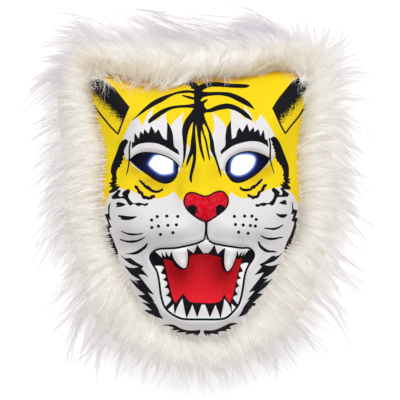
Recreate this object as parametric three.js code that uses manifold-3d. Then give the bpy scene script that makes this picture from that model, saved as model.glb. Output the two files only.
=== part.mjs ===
// Light-up tiger mask: a moulded foam face with printed felt on it, a ring of long white
// fur round its edge, and in each eye opening a dark screen with a glowing window in it.
// It lies on its back rim with the face up. Millimetres, +Z out of the face, +Y to the top
// of the head, +X to the wearer's left, origin on the ground under the middle.

import * as THREE from "three";
import { mergeVertices } from "three/addons/utils/BufferGeometryUtils.js";
import Module from "manifold-3d";

// Driving sizes
const WALL = 4; // foam and felt together
const GAP = 0.4; // between pieces that touch
const RIM_HEIGHT = 8; // where the dome's edge meets the upright wall
const DOME_HEIGHT = 50; // of the plain dome over that edge
const DOME_FULLNESS = 2.6; // a higher number keeps the dome flat further out
const DOME_EDGE = 0.62; // a lower number makes its edge steeper
const FLANGE_WIDTH = 12; // the flat brim that the fur is sewn to
const MOUTH_DEPTH = 13;
const BACK = { swelling: 0.86, hollow: 1.2 }; // how much of the front's forms the back has
const MOUTH_MIDDLE = { x: 0, y: -82 };

// The rim, in polar form round the middle: the angle over the wearer's left, the radius
// of the rim there, and how far the longest locks of fur reach past it.
const RIM = [
  [-90, 145, 51],
  [-80, 141.5, 57],
  [-70, 134, 63],
  [-59, 124.5, 69],
  [-48, 115.5, 74],
  [-35, 107, 77],
  [-21, 103.5, 77],
  [-8, 103.5, 77],
  [6, 105, 76],
  [20, 109, 76],
  [30, 118.5, 76],
  [38, 136, 74],
  [44, 154, 71],
  [49, 169, 69],
  [56, 161, 71],
  [66, 140, 73],
  [77, 130, 67],
  [90, 128, 64],
];

// The lip line round the open mouth, in polar form round the mouth's middle.
const LIPS = [
  [-90, 37.5],
  [-60, 40],
  [-40, 43.5],
  [-24, 44],
  [-4, 43.5],
  [15, 46.5],
  [22, 51.5],
  [29, 57.5],
  [38, 53.5],
  [55, 42.5],
  [90, 35],
];

// Soft rounded forms on the dome: middle, spread each way and height. A pair stands on
// both sides of the face.
const FORMS = [
  { name: "brow", x: 42, y: 61, wide: 28, tall: 11, height: 5, pair: true },
  { name: "eye socket", x: 46, y: 32, wide: 25, tall: 15, height: -8, pair: true },
  { name: "cheek", x: 76, y: -6, wide: 18, tall: 24, height: 6, pair: true },
  { name: "whisker pad", x: 31, y: -27, wide: 24, tall: 15, height: 15, pair: true },
  { name: "jaw", x: 60, y: -82, wide: 13, tall: 30, height: 7, pair: true },
  { name: "ear", x: 98, y: 100, wide: 15, tall: 20, height: 6, pair: true },
  { name: "nose bridge", x: 0, y: 34, wide: 13, tall: 32, height: 10 },
  { name: "nose", x: 0, y: -7, wide: 19, tall: 14, height: 19 },
  { name: "muzzle", x: 0, y: -30, wide: 48, tall: 26, height: 9 },
  { name: "chin", x: 0, y: -118, wide: 34, tall: 13, height: 14 },
];

// An eye opening is a teardrop that points outwards and up.
const EYE = { corner: { x: 70, y: 43 }, length: 49.5, half: 13.3, slope: 19.4, taper: 0.6 };
const LID = { radius: 3.2, sides: 8, steps: 14 }; // the rolled upper lid

// A fang: its root on the upper lip, its length to the tip, half its width, how far its tip
// leans to the middle, its height at the root and how far its back tilts down to the tip.
const FANG = { x: 25.5, y: -50, length: 23, half: 9.5, lean: 5, height: 11, tilt: 16, round: 4.5 };

// The light in each eye: an oval window, cut off straight on its inner side.
const LIGHT = {
  x: 41.5,
  y: 34.5,
  long: 14.8,
  short: 10.6,
  slope: 33,
  cut: 28.8, // the distance of the straight side from the middle of the face
  deep: 7,
  proud: 0.8, // of the screen round it
};
const SCREEN = { thick: 2, overlap: 4 };

// The fur ring. Heights are over the ground, and shares are of the reach past the rim.
const FUR = {
  locks: 30,
  perLock: 3,
  crown: 44, // its highest line, just outside the rim
  lip: 35, // its edge over the face
  overlap: 8, // of the face, inside the rim
  outer: [0.64, 0.82, 1], // one long lock: its valley, its back and its tip
  inner: [1, 0.6, 0.8], // one lock of the short tier, which lies between two long ones
  sway: 0.022, // how far round a long lock's tip swings, in radians
};

// How finely the surfaces are cut into flat faces. Rings inside the mouth are shares of the
// way to the lips, and the others are evenly spread from there to the rim.
const OUTER_GRID = {
  spokes: FUR.locks * FUR.perLock,
  inside: [0.4, 0.62, 0.8, 1, 1.14],
  outside: 14,
};
const INNER_GRID = { spokes: OUTER_GRID.spokes / 2, inside: [0.4, 0.8, 1.14], outside: 7 };

const wasm = await Module();
wasm.setup();

const radians = THREE.MathUtils.degToRad;

// A smooth curve through a table of angles and values, symmetric about the Y axis.
function around(table, angle, column = 1) {
  const a = THREE.MathUtils.radToDeg(Math.atan2(Math.sin(angle), Math.abs(Math.cos(angle))));
  let i = 0;
  while (i < table.length - 2 && a > table[i + 1][0]) i++;
  const slope = (k) =>
    k <= 0 || k >= table.length - 1
      ? 0
      : (table[k + 1][column] - table[k - 1][column]) / (table[k + 1][0] - table[k - 1][0]);
  const width = table[i + 1][0] - table[i][0];
  const t = THREE.MathUtils.clamp((a - table[i][0]) / width, 0, 1);
  const low = table[i][column] * (1 + 2 * t) * (1 - t) ** 2 + slope(i) * width * t * (1 - t) ** 2;
  const high =
    table[i + 1][column] * t * t * (3 - 2 * t) + slope(i + 1) * width * t * t * (t - 1);
  return low + high;
}

const bump = (x, y, form) =>
  form.height * Math.exp(-(((x - form.x) / form.wide) ** 2) - ((y - form.y) / form.tall) ** 2);

// A point of the eye's teardrop, grown by a margin. Along runs from the corner inwards.
function eyePoint(turn, margin = 0) {
  const length = EYE.length + 2 * margin;
  const along = (length / 2) * (1 - Math.cos(turn)) - margin;
  const widest = 0.84;
  const across =
    ((EYE.half + margin) / widest) * Math.sin(turn) * Math.sin(turn / 2) ** EYE.taper;
  const c = Math.cos(radians(EYE.slope));
  const s = Math.sin(radians(EYE.slope));
  return new THREE.Vector2(
    EYE.corner.x - along * c + across * s,
    EYE.corner.y - along * s - across * c,
  );
}

// How far the mouth sinks in, and the soft roll of the lips round it.
function mouth(x, y) {
  const dx = x - MOUTH_MIDDLE.x;
  const dy = y - MOUTH_MIDDLE.y;
  const out = Math.hypot(dx, dy) / around(LIPS, Math.atan2(dy, dx));
  const sunk = 1 - THREE.MathUtils.smoothstep(out, 0.66, 1.04);
  return -MOUTH_DEPTH * sunk + 2.5 * Math.exp(-(((out - 1.14) / 0.14) ** 2));
}

// The face's height over the ground at a place in plan. The back has flatter swellings and
// deeper hollows than the front, so the wall is nowhere thin.
function faceHeight(x, y, onBack = false) {
  const out = Math.min(Math.hypot(x, y) / around(RIM, Math.atan2(y, x)), 1);
  const dome = DOME_HEIGHT * (1 - out ** DOME_FULLNESS) ** DOME_EDGE;
  const inward = THREE.MathUtils.smoothstep(1 - out, 0, 0.16);
  const follow = (height) => height * (!onBack ? 1 : height > 0 ? BACK.swelling : BACK.hollow);
  const relief = FORMS.reduce(
    (sum, form) => sum + follow(bump(form.pair ? Math.abs(x) : x, y, form)),
    follow(mouth(x, y)),
  );
  return RIM_HEIGHT + dome + inward * relief;
}

// A point of the face moved along its own normal, into the foam where depth is positive.
function skinPoint(place, depth) {
  const step = 0.2;
  const high = (dx, dy) => faceHeight(place.x + dx, place.y + dy, depth > 0);
  const normal = new THREE.Vector3(
    (high(-step, 0) - high(step, 0)) / (2 * step),
    (high(0, -step) - high(0, step)) / (2 * step),
    1,
  ).normalize();
  const point = new THREE.Vector3(place.x, place.y, high(0, 0));
  return point.addScaledVector(normal, -depth);
}

const turns = (count) => Array.from({ length: count }, (_, i) => (i / count) * 2 * Math.PI);

function polar(angle, radius, middle = { x: 0, y: 0 }) {
  return new THREE.Vector2(
    middle.x + radius * Math.cos(angle),
    middle.y + radius * Math.sin(angle),
  );
}

// A point at a distance past the rim.
function pastRim(angle, past, height) {
  const p = polar(angle, around(RIM, angle) + past);
  return new THREE.Vector3(p.x, p.y, height);
}

// A place in plan on the spoke from the mouth's middle to the rim: in the mouth by a share
// of the way to the lips, and outside it by a share of the way from there to the rim.
function onSpoke(angle, lips, outwards = 0) {
  const rim = polar(angle, around(RIM, angle));
  const seen = Math.atan2(rim.y - MOUTH_MIDDLE.y, rim.x - MOUTH_MIDDLE.x);
  return polar(seen, lips * around(LIPS, seen), MOUTH_MIDDLE).lerp(rim, outwards);
}

// How far out of the lips a ring lies, as a share. Rings stand closer at both ends.
function outShare(ring, rings) {
  const even = ring / rings;
  return even - (0.45 * Math.sin(2 * Math.PI * even)) / (2 * Math.PI);
}

// A closed solid from rings of points, one over the other, each end shut by a fan.
function loft(rings, closed = false) {
  const count = rings[0].length;
  const places = rings.flat();
  const faces = [];
  const bands = closed ? rings.length : rings.length - 1;
  for (let k = 0; k < bands; k++) {
    for (let i = 0; i < count; i++) {
      const a = k * count + i;
      const b = k * count + ((i + 1) % count);
      const c = ((k + 1) % rings.length) * count + i;
      const d = ((k + 1) % rings.length) * count + ((i + 1) % count);
      faces.push(a, c, b, b, c, d);
    }
  }
  const geometry = new THREE.BufferGeometry().setFromPoints(places);
  geometry.setIndex(faces);
  return solid(geometry);
}

// A manifold solid from a three.js geometry whose faces point out.
function solid(geometry) {
  const bare = geometry.index ? geometry.toNonIndexed() : geometry.clone();
  bare.deleteAttribute("normal");
  bare.deleteAttribute("uv");
  const merged = mergeVertices(bare, 1e-3);
  const corners = merged.index.array;
  const kept = [];
  for (let i = 0; i < corners.length; i += 3) {
    const [a, b, c] = [corners[i], corners[i + 1], corners[i + 2]];
    if (a !== b && b !== c && c !== a) kept.push(a, b, c);
  }
  return new wasm.Manifold(
    new wasm.Mesh({
      numProp: 3,
      vertProperties: merged.attributes.position.array,
      triVerts: new Uint32Array(kept),
    }),
  );
}

function geometryOf(made) {
  const mesh = made.getMesh();
  const geometry = new THREE.BufferGeometry();
  geometry.setAttribute("position", new THREE.BufferAttribute(mesh.vertProperties, 3));
  geometry.setIndex(new THREE.BufferAttribute(mesh.triVerts, 1));
  const flat = geometry.toNonIndexed();
  flat.computeVertexNormals();
  return flat;
}

// The angles of spokes that meet the rim at equal distances, so none is sparse in a corner.
function spokeAngles(count) {
  const fine = 1440;
  const rim = turns(fine + 1).map((_, i) => {
    const angle = (i / fine) * 2 * Math.PI;
    return polar(angle, around(RIM, angle));
  });
  const run = [0];
  for (let i = 1; i <= fine; i++) run.push(run[i - 1] + rim[i].distanceTo(rim[i - 1]));
  return turns(count).map((turn) => {
    const goal = (turn / (2 * Math.PI)) * run[fine];
    const i = run.findLastIndex((length) => length <= goal);
    return ((i + (goal - run[i]) / (run[i + 1] - run[i])) / fine) * 2 * Math.PI;
  });
}

// Everything under the face, moved in by a depth. The foot rings close it below.
function underFace(grid, depth, foot) {
  const angles = spokeAngles(grid.spokes);
  const lips = grid.inside[grid.inside.length - 1];
  const top = skinPoint(new THREE.Vector2(MOUTH_MIDDLE.x, MOUTH_MIDDLE.y), depth);
  const rings = [angles.map(() => top)];
  for (const share of grid.inside) {
    rings.push(angles.map((a) => skinPoint(onSpoke(a, share), depth)));
  }
  for (let ring = 1; ring < grid.outside; ring++) {
    const outwards = outShare(ring, grid.outside);
    rings.push(angles.map((a) => skinPoint(onSpoke(a, lips, outwards), depth)));
  }
  for (const [past, height] of foot) rings.push(angles.map((a) => pastRim(a, past, height)));
  const low = new THREE.Vector3(MOUTH_MIDDLE.x, MOUTH_MIDDLE.y, foot[foot.length - 1][1]);
  rings.push(angles.map(() => low));
  return loft(rings);
}

// An upright prism over an outline on the wearer's left, or its mirror on the right.
function prism(outline, low, high, side) {
  const points = outline.map((p) => new THREE.Vector2(side * p.x, p.y));
  const geometry = new THREE.ExtrudeGeometry(new THREE.Shape(points), {
    depth: high - low,
    bevelEnabled: false,
  });
  geometry.translate(0, 0, low);
  return solid(geometry);
}

const eyeOutline = (margin) => turns(22).map((turn) => eyePoint(turn, margin));

function lightOutline(margin) {
  return turns(20).map((turn) => {
    const p = new THREE.Vector2(
      (LIGHT.long + margin) * Math.cos(turn),
      (LIGHT.short + margin) * Math.sin(turn),
    ).rotateAround(new THREE.Vector2(), radians(LIGHT.slope));
    return new THREE.Vector2(Math.max(LIGHT.x + p.x, LIGHT.cut - margin), LIGHT.y + p.y);
  });
}

// The rolled lid: a round bar along the upper edge of the opening, half sunk in the face.
function lidRoll(side) {
  const path = new THREE.CatmullRomCurve3(
    [1.94, 1.8, 1.6, 1.4, 1.24, 1.12].map((half) => {
      const p = eyePoint(half * Math.PI, 0.6 * LID.radius);
      return new THREE.Vector3(side * p.x, p.y, faceHeight(p.x, p.y) - 0.2 * LID.radius);
    }),
  );
  const section = new THREE.Shape().absarc(0, 0, LID.radius, 0, 2 * Math.PI);
  return solid(
    new THREE.ExtrudeGeometry(section, {
      steps: LID.steps,
      curveSegments: LID.sides,
      extrudePath: path,
    }),
  );
}

// A fang: a rounded spike that stands on the mouth's floor and tilts down to its tip.
function fangSpike(side) {
  const middle = faceHeight(FANG.x, FANG.y - FANG.length / 2);
  const outline = (share, height) =>
    turns(16).map((turn) => {
      const across = FANG.half * share * Math.cos(turn);
      const down = Math.sin(turn) > 0 ? FANG.length * share * Math.sin(turn) : 0;
      const up = Math.sin(turn) < 0 ? -FANG.half * 0.5 * share * Math.sin(turn) : 0;
      const lean = -side * FANG.lean * (down / FANG.length) ** 2;
      const tilt = -Math.tan(radians(FANG.tilt)) * (down - up - FANG.length / 2);
      const x = side * FANG.x + across + lean;
      return new THREE.Vector3(x, FANG.y - down + up, middle + height + tilt);
    });
  return loft([
    outline(0, -3 * FANG.height),
    outline(1, -3 * FANG.height),
    outline(1, FANG.height - FANG.round),
    outline(0.86, FANG.height - 0.4 * FANG.round),
    outline(0.55, FANG.height),
    outline(0, FANG.height),
  ]);
}

// The moulded face: a thin wall with a flat brim, open at the back, with two eye openings.
function faceShell() {
  let made = underFace(OUTER_GRID, 0, [
    [0, RIM_HEIGHT],
    [0, WALL],
    [FLANGE_WIDTH, WALL],
    [FLANGE_WIDTH, 0],
  ]);
  for (const side of [1, -1]) {
    const opening = prism(eyeOutline(0), -2, 100, side);
    made = made.add(fangSpike(side)).add(lidRoll(side)).subtract(opening);
  }
  return made.subtract(cavity(WALL, -1));
}

// The room behind a wall of some depth.
function cavity(depth, floor) {
  return underFace(INNER_GRID, depth, [
    [-depth, RIM_HEIGHT],
    [-depth, floor],
  ]);
}

// A dark screen glued behind the eye opening, with a hole for the light.
function eyeScreen(side) {
  const front = cavity(WALL + GAP, -1);
  const back = cavity(WALL + GAP + SCREEN.thick, -2);
  return prism(eyeOutline(SCREEN.overlap), 12, 90, side)
    .intersect(front.subtract(back))
    .subtract(prism(lightOutline(GAP), -5, 100, side));
}

// The light: an oval block whose front stands just proud of the screen.
function eyeLight(side) {
  const front = cavity(WALL - LIGHT.proud, -1);
  const back = cavity(WALL - LIGHT.proud + LIGHT.deep, -2);
  return prism(lightOutline(0), 12, 90, side).intersect(front.subtract(back));
}

// The fur ring: its inside follows the face and the brim, and its outside is two tiers of
// locks, each lock with one steep and one sloping side, the short tier lapping the long one.
function furTrim() {
  const angles = spokeAngles(OUTER_GRID.spokes);
  const row = (place) =>
    angles.map((angle, i) => {
      const lock = Math.floor(i / FUR.perLock);
      const reach = around(RIM, angle, 2);
      const length = 0.93 + 0.05 * Math.sin(2.4 * lock + 1) + 0.03 * Math.sin(5.3 * lock);
      return place(angle, {
        reach,
        long: reach * length * FUR.outer[i % FUR.perLock],
        short: FUR.inner[i % FUR.perLock] * (0.94 + 0.06 * Math.sin(1.9 * lock)),
        swing: FUR.sway * Math.sin(1.7 * lock) * (i % FUR.perLock),
      });
    });
  const edge = FLANGE_WIDTH + GAP;
  const lips = OUTER_GRID.inside[OUTER_GRID.inside.length - 1];
  const lastRing = outShare(OUTER_GRID.outside - 1, OUTER_GRID.outside);
  const onFace = (angle, outwards) => skinPoint(onSpoke(angle, lips, outwards), -3 * GAP);
  const lip = (angle) => {
    const run = onSpoke(angle, lips).distanceTo(onSpoke(angle, lips, 1));
    return onFace(angle, Math.min(1 - FUR.overlap / run, lastRing - 0.01));
  };
  const low = FUR.crown - 24;
  return loft(
    [
      row((a) => lip(a)),
      row((a) => onFace(a, lastRing)),
      row((a) => pastRim(a, GAP, RIM_HEIGHT + GAP)),
      row((a) => pastRim(a, GAP, WALL + GAP)),
      row((a) => pastRim(a, edge, WALL + GAP)),
      row((a) => pastRim(a, edge, 0)),
      row((a, lock) => pastRim(a + lock.swing, 0.95 * lock.long, 0)),
      row((a, lock) => pastRim(a + lock.swing, lock.long, 4)),
      row((a, lock) => pastRim(a + lock.swing / 2, 0.78 * lock.long, 6 + 0.1 * lock.long)),
      row((a, lock) => pastRim(a, 0.48 * lock.reach, low - 7 + 0.1 * lock.long)),
      row((a, lock) => pastRim(a, 0.68 * lock.reach * lock.short, low + 3 * lock.short)),
      row((a, lock) => pastRim(a, 0.36 * lock.reach * lock.short, FUR.crown - 9)),
      row((a, lock) => pastRim(a, 7, FUR.crown - 2 + 2 * lock.short)),
      row((a, lock) => pastRim(a, -2 * lock.short, FUR.crown - 3 + 2 * lock.short)),
      row((a, lock) => {
        const under = lip(a);
        return under.setZ(Math.max(under.z + 4, FUR.lip + 2 * lock.short));
      }),
    ].reverse(),
    true,
  );
}

const finish = {
  felt: { color: 0xf6d21a, roughness: 0.9, metalness: 0 },
  fur: { color: 0xf1ece4, roughness: 1, metalness: 0 },
  screen: { color: 0x1a1a30, roughness: 0.6, metalness: 0 },
  light: { color: 0xffffff, roughness: 0.4, metalness: 0, emissive: 0xe8ecff },
};

function piece(name, made, look) {
  const mesh = new THREE.Mesh(geometryOf(made), new THREE.MeshStandardMaterial(look));
  mesh.name = name;
  return mesh;
}

const mask = new THREE.Group();
mask.add(piece("face_shell", faceShell(), finish.felt));
mask.add(piece("fur_trim", furTrim(), finish.fur));
for (const [name, side] of [
  ["left", 1],
  ["right", -1],
]) {
  mask.add(piece(`eye_screen_${name}`, eyeScreen(side), finish.screen));
  mask.add(piece(`eye_light_${name}`, eyeLight(side), finish.light));
}

export default mask;
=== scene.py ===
import math

import bpy
import numpy as np
from bpy.props import (
    FloatProperty,
    FloatVectorProperty,
    IntProperty,
    PointerProperty,
)
from mathutils import Matrix, Vector, geometry, kdtree


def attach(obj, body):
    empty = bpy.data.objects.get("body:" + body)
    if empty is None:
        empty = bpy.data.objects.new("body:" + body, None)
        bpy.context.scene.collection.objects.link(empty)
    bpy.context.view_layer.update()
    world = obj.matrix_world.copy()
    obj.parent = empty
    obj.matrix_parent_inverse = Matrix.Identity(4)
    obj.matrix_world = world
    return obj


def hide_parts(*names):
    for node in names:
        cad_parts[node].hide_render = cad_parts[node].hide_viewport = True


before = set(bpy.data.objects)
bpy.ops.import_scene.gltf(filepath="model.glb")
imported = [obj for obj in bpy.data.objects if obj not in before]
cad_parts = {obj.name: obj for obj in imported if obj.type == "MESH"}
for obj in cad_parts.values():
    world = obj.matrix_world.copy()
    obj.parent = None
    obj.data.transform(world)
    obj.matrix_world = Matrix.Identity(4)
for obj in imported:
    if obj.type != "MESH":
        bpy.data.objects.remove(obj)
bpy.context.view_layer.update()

bl_info = {
    "name": "Light-up tiger mask",
    "version": (1, 0, 0),
    "blender": (4, 5, 0),
    "location": "3D View > Sidebar > Tiger mask",
    "description": "Makes a moulded felt tiger mask with lit eyes and a ring of long white fur",
    "category": "Add Mesh",
}

# Plan and height sizes are in millimetres, as the mask's makers would give them, and
# every mesh is scaled to metres when it is made.
MM = 0.001

# The solid face that all the pieces share: its wall, its dome, its flat brim and its forms.
WALL = 4.0
RIM_HEIGHT = 8.0
DOME_HEIGHT = 50.0
DOME_FULLNESS = 2.6
DOME_EDGE = 0.62
FLANGE_WIDTH = 12.0
MOUTH_DEPTH = 13.0
MOUTH_MIDDLE = (0.0, -82.0)
BACK_SWELLING = 0.86
BACK_HOLLOW = 1.2

# The rim in polar form: the angle over the wearer's left, the radius and the fur's reach.
RIM = [
    (-90, 145, 51), (-80, 141.5, 57), (-70, 134, 63), (-59, 124.5, 69), (-48, 115.5, 74),
    (-35, 107, 77), (-21, 103.5, 77), (-8, 103.5, 77), (6, 105, 76), (20, 109, 76),
    (30, 118.5, 76), (38, 136, 74), (44, 154, 71), (49, 169, 69), (56, 161, 71),
    (66, 140, 73), (77, 130, 67), (90, 128, 64),
]

# The lip line round the open mouth, in polar form round the mouth's middle.
LIPS = [
    (-90, 37.5), (-60, 40), (-40, 43.5), (-24, 44), (-4, 43.5), (15, 46.5), (22, 51.5),
    (29, 57.5), (38, 53.5), (55, 42.5), (90, 35),
]

# Soft forms on the dome: middle, spread each way, height, and whether there are two.
FORMS = {
    "brow": (42, 61, 28, 11, 5, True),
    "eye socket": (46, 32, 25, 15, -8, True),
    "cheek": (76, -6, 18, 24, 6, True),
    "whisker pad": (31, -27, 24, 15, 15, True),
    "jaw": (60, -82, 13, 30, 7, True),
    "ear": (98, 100, 15, 20, 6, True),
    "nose bridge": (0, 34, 13, 32, 10, False),
    "nose": (0, -7, 19, 14, 19, False),
    "muzzle": (0, -30, 48, 26, 9, False),
    "chin": (0, -118, 34, 13, 14, False),
}

# The camera, as the photograph was taken: square on, a little from the wearer's right.
PHOTO_SIZE = 400
CAMERA_DISTANCE = 2000.0
CAMERA_YAW = math.radians(3.5)
CAMERA_TARGET = np.array([-1.0, 0.0, 25.0])
FRAME_WIDTH = 400.0
SENSOR_WIDTH = 36.0


def smoothstep(value, low, high):
    t = np.clip((value - low) / (high - low), 0, 1)
    return t * t * (3 - 2 * t)


def around(table, angle, column=1):
    """A smooth curve through a table of angles and values, alike on both sides."""
    a = np.degrees(np.arctan2(np.sin(angle), np.abs(np.cos(angle))))
    keys = np.array([row[0] for row in table], float)
    values = np.array([row[column] for row in table], float)
    slopes = np.zeros(len(keys))
    slopes[1:-1] = (values[2:] - values[:-2]) / (keys[2:] - keys[:-2])
    i = np.clip(np.searchsorted(keys, a) - 1, 0, len(keys) - 2)
    width = keys[i + 1] - keys[i]
    t = np.clip((a - keys[i]) / width, 0, 1)
    low = values[i] * (1 + 2 * t) * (1 - t) ** 2 + slopes[i] * width * t * (1 - t) ** 2
    high = values[i + 1] * t * t * (3 - 2 * t) + slopes[i + 1] * width * t * t * (t - 1)
    return low + high


def polar(places):
    """The angle round the mask of places in plan, and how far past the rim they lie."""
    angle = np.arctan2(places[..., 1], places[..., 0])
    return angle, np.hypot(places[..., 0], places[..., 1]) - around(RIM, angle)


def pointing(turn):
    """Unit vectors in plan along these headings."""
    return np.stack([np.cos(turn), np.sin(turn)], axis=-1)


def outwardness(x, y):
    """0 in the middle of the face and 1 on its rim."""
    return np.minimum(np.hypot(x, y) / around(RIM, np.arctan2(y, x)), 1)


def face_height(x, y, swelling=1.0, hollow=1.0):
    """The height of the moulded face over the ground, the same as the solid's."""
    out = outwardness(x, y)
    dome = DOME_HEIGHT * np.maximum(1 - out**DOME_FULLNESS, 0) ** DOME_EDGE
    dx, dy = x - MOUTH_MIDDLE[0], y - MOUTH_MIDDLE[1]
    lips = np.hypot(dx, dy) / around(LIPS, np.arctan2(dy, dx))
    sunk = 1 - smoothstep(lips, 0.66, 1.04)
    mouth = -MOUTH_DEPTH * sunk + 2.5 * np.exp(-(((lips - 1.14) / 0.14) ** 2))
    relief = mouth * np.where(mouth > 0, swelling, hollow)
    for middle_x, middle_y, wide, tall, height, pair in FORMS.values():
        across = (np.abs(x) if pair else x) - middle_x
        form = height * np.exp(-((across / wide) ** 2) - ((y - middle_y) / tall) ** 2)
        relief = relief + form * (swelling if height > 0 else hollow)
    return RIM_HEIGHT + dome + smoothstep(1 - out, 0, 0.16) * relief


# The camera's axes: to its right, up in its picture, and back from the mask to it.
CAMERA_AXES = np.array([
    [math.cos(CAMERA_YAW), 0, math.sin(CAMERA_YAW)],
    [0, 1, 0],
    [-math.sin(CAMERA_YAW), 0, math.cos(CAMERA_YAW)],
])


def from_photo(points, lift=0.0):
    """The places in plan where the camera sees these pixels on the face, raised by lift."""
    right, up, back = CAMERA_AXES
    eye = CAMERA_TARGET + CAMERA_DISTANCE * back
    points = np.asarray(points, float)
    focal = CAMERA_DISTANCE / FRAME_WIDTH * PHOTO_SIZE
    half = PHOTO_SIZE / 2
    rays = (
        np.outer(points[:, 0] - half, right) + np.outer(half - points[:, 1], up)
    ) / focal - back
    height = np.full(len(points), 45.0)
    for _ in range(8):
        reached = eye + rays * ((height - eye[2]) / rays[:, 2])[:, None]
        height = 0.5 * height + 0.5 * (face_height(reached[:, 0], reached[:, 1]) + lift)
    return reached[:, :2]


# The print on the face. Every outline and line is in pixels of the photograph, in the
# order in which it is laid over the yellow ground. A corner sharper than CORNER stays
# sharp, and the rest is drawn as a smooth curve.
CORNER = math.radians(48)

# How much wider the black ink lies than it is drawn, in pixels.
INK = 0.45


def area(paint, points, inset=0.0, lift=0.0):
    return {"paint": paint, "points": points, "inset": inset, "lift": lift}


def line(paint, widths, points):
    return {"paint": paint, "points": points, "widths": widths, "lift": 0.0}


def dot(paint, x, y, radius):
    turns = np.linspace(0, 2 * np.pi, 9)[:-1]
    return area(paint, [(x + radius * math.cos(t), y + radius * math.sin(t)) for t in turns])


EYES = {
    "right": [
        (130.2, 159.1), (135.1, 154.9), (141.2, 152.5), (148.9, 152.1), (156.5, 153.1),
        (164.2, 155.2), (171.3, 158.7), (176.3, 162.5), (179, 166), (178, 168.4),
        (177.9, 172.5), (176, 177.4), (173, 181), (169, 183.1), (164.8, 183.6),
        (159.9, 182.5), (154.8, 180), (148.6, 175.6), (141.5, 170.6), (135.2, 165.6),
        (130.4, 160.9),
    ],
    "left": [
        (269.6, 158), (265, 155.4), (258.2, 152.7), (249.7, 151.1), (242.1, 151.9),
        (234.4, 155), (229.1, 158.8), (226, 163.8), (225.1, 169.1), (226.4, 173.7),
        (229.8, 179.1), (233.7, 182.1), (238.3, 182.9), (243.6, 181.8), (250.5, 178.3),
        (258.2, 173), (264.3, 166.8), (268.6, 161.5),
    ],
}

LIGHTS = {
    "right": [
        (148.5, 164), (151.3, 159), (154.6, 155.7), (159.4, 154.6), (164.8, 156),
        (170.6, 158.2), (173.3, 159.9), (173.3, 172.1), (171.2, 173.5), (164.6, 174.6),
        (159.6, 173.7), (154, 170), (150.6, 167),
    ],
    "left": [
        (231, 172), (231.3, 163.8), (232.9, 159.2), (236.7, 155.7), (242.9, 154.2),
        (249, 154.2), (253.6, 155.7), (255.7, 158.6), (255.1, 163), (252.8, 167.6),
        (248.2, 172.2), (242.9, 174.9), (238.3, 175.6), (233.7, 174.3),
    ],
}

EARS = {
    "right": [
        (86, 74), (99.1, 79.1), (106.8, 82.2), (114.4, 88.3), (121.3, 96.7), (129, 106.3),
        (125.2, 115.1), (121.3, 125), (117.9, 134.1), (110.6, 126.6), (101.4, 115.5),
        (94.2, 105.9), (86, 94),
    ],
    "left": [
        (308, 73), (301, 75.7), (291.1, 83), (283.4, 92.1), (277.3, 99.8), (272.7, 107.4),
        (277.3, 117.4), (281.1, 125.8), (285.3, 133.5), (291.8, 125), (298.7, 116.6),
        (303.7, 108.6), (309, 100),
    ],
}

# Where each ear's black fades to yellow: a line across the ear, black above it.
EAR_FADES = {
    "right": [(94.5, 90.6), (122.9, 118.9)],
    "left": [(302.9, 92.9), (280.4, 117.4)],
}

NOSE = [
    (183.4, 201.9), (184.1, 197.9), (185.9, 194.3), (189, 192.2), (192.6, 192),
    (196.6, 192.8), (200.7, 194.5), (204.8, 195.6), (208.9, 194.9), (213, 192.8),
    (216.5, 191.2), (220.1, 190.6), (223.7, 191.5), (226.7, 194.3), (228.5, 197.9),
    (228.9, 201.9), (227.5, 206.5), (224.7, 210.4), (220.6, 213.7), (215, 217.8),
    (210.9, 220.3), (207.6, 222.2), (205.1, 222.2), (200.7, 220.6), (195.6, 217.5),
    (190.5, 213.7), (186.4, 209.3), (184.4, 205.5),
]

NOSTRILS = [
    [
        (186.7, 209.1), (188, 206.8), (190, 205.4), (193.1, 205.1), (195.6, 206.3),
        (196.9, 208.6), (196.6, 211.1), (194.3, 216), (190.5, 213.2),
    ],
    [
        (216.3, 207), (218.1, 205.4), (220.6, 205), (222.7, 205.8), (225.2, 208),
        (225.3, 209.6), (221.1, 213.2), (217.3, 215.5), (216.2, 212.7), (216, 210.1),
    ],
]

LIP_LINE = [
    (203.8, 240.2), (196.8, 243.3), (185.9, 246), (175.1, 248), (167, 248.4),
    (160.5, 248.8), (155.6, 250.3), (151.5, 253.6), (150, 257.3), (151, 261.1),
    (154, 266.4), (156.7, 270.9), (158.6, 277.9), (159.7, 286.1), (160.7, 294.2),
    (162.4, 301.2), (164.8, 307.2), (168.6, 311.5), (174, 315.3), (180.5, 318.3),
    (186, 319.2), (204, 319.4), (220.1, 319.2), (226, 317.8), (230.4, 314.5),
    (234.7, 309.9), (237.9, 305.6), (240.1, 300.7), (241.7, 294.2), (243.1, 286.1),
    (244.4, 276.9), (246.1, 270.4), (248.8, 264.9), (252.8, 259), (254, 254.6),
    (252, 250.3), (248.2, 248), (242.3, 248), (232.5, 246.8), (221.7, 245.1),
    (213.6, 243.3), (208.9, 240.7),
]

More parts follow.
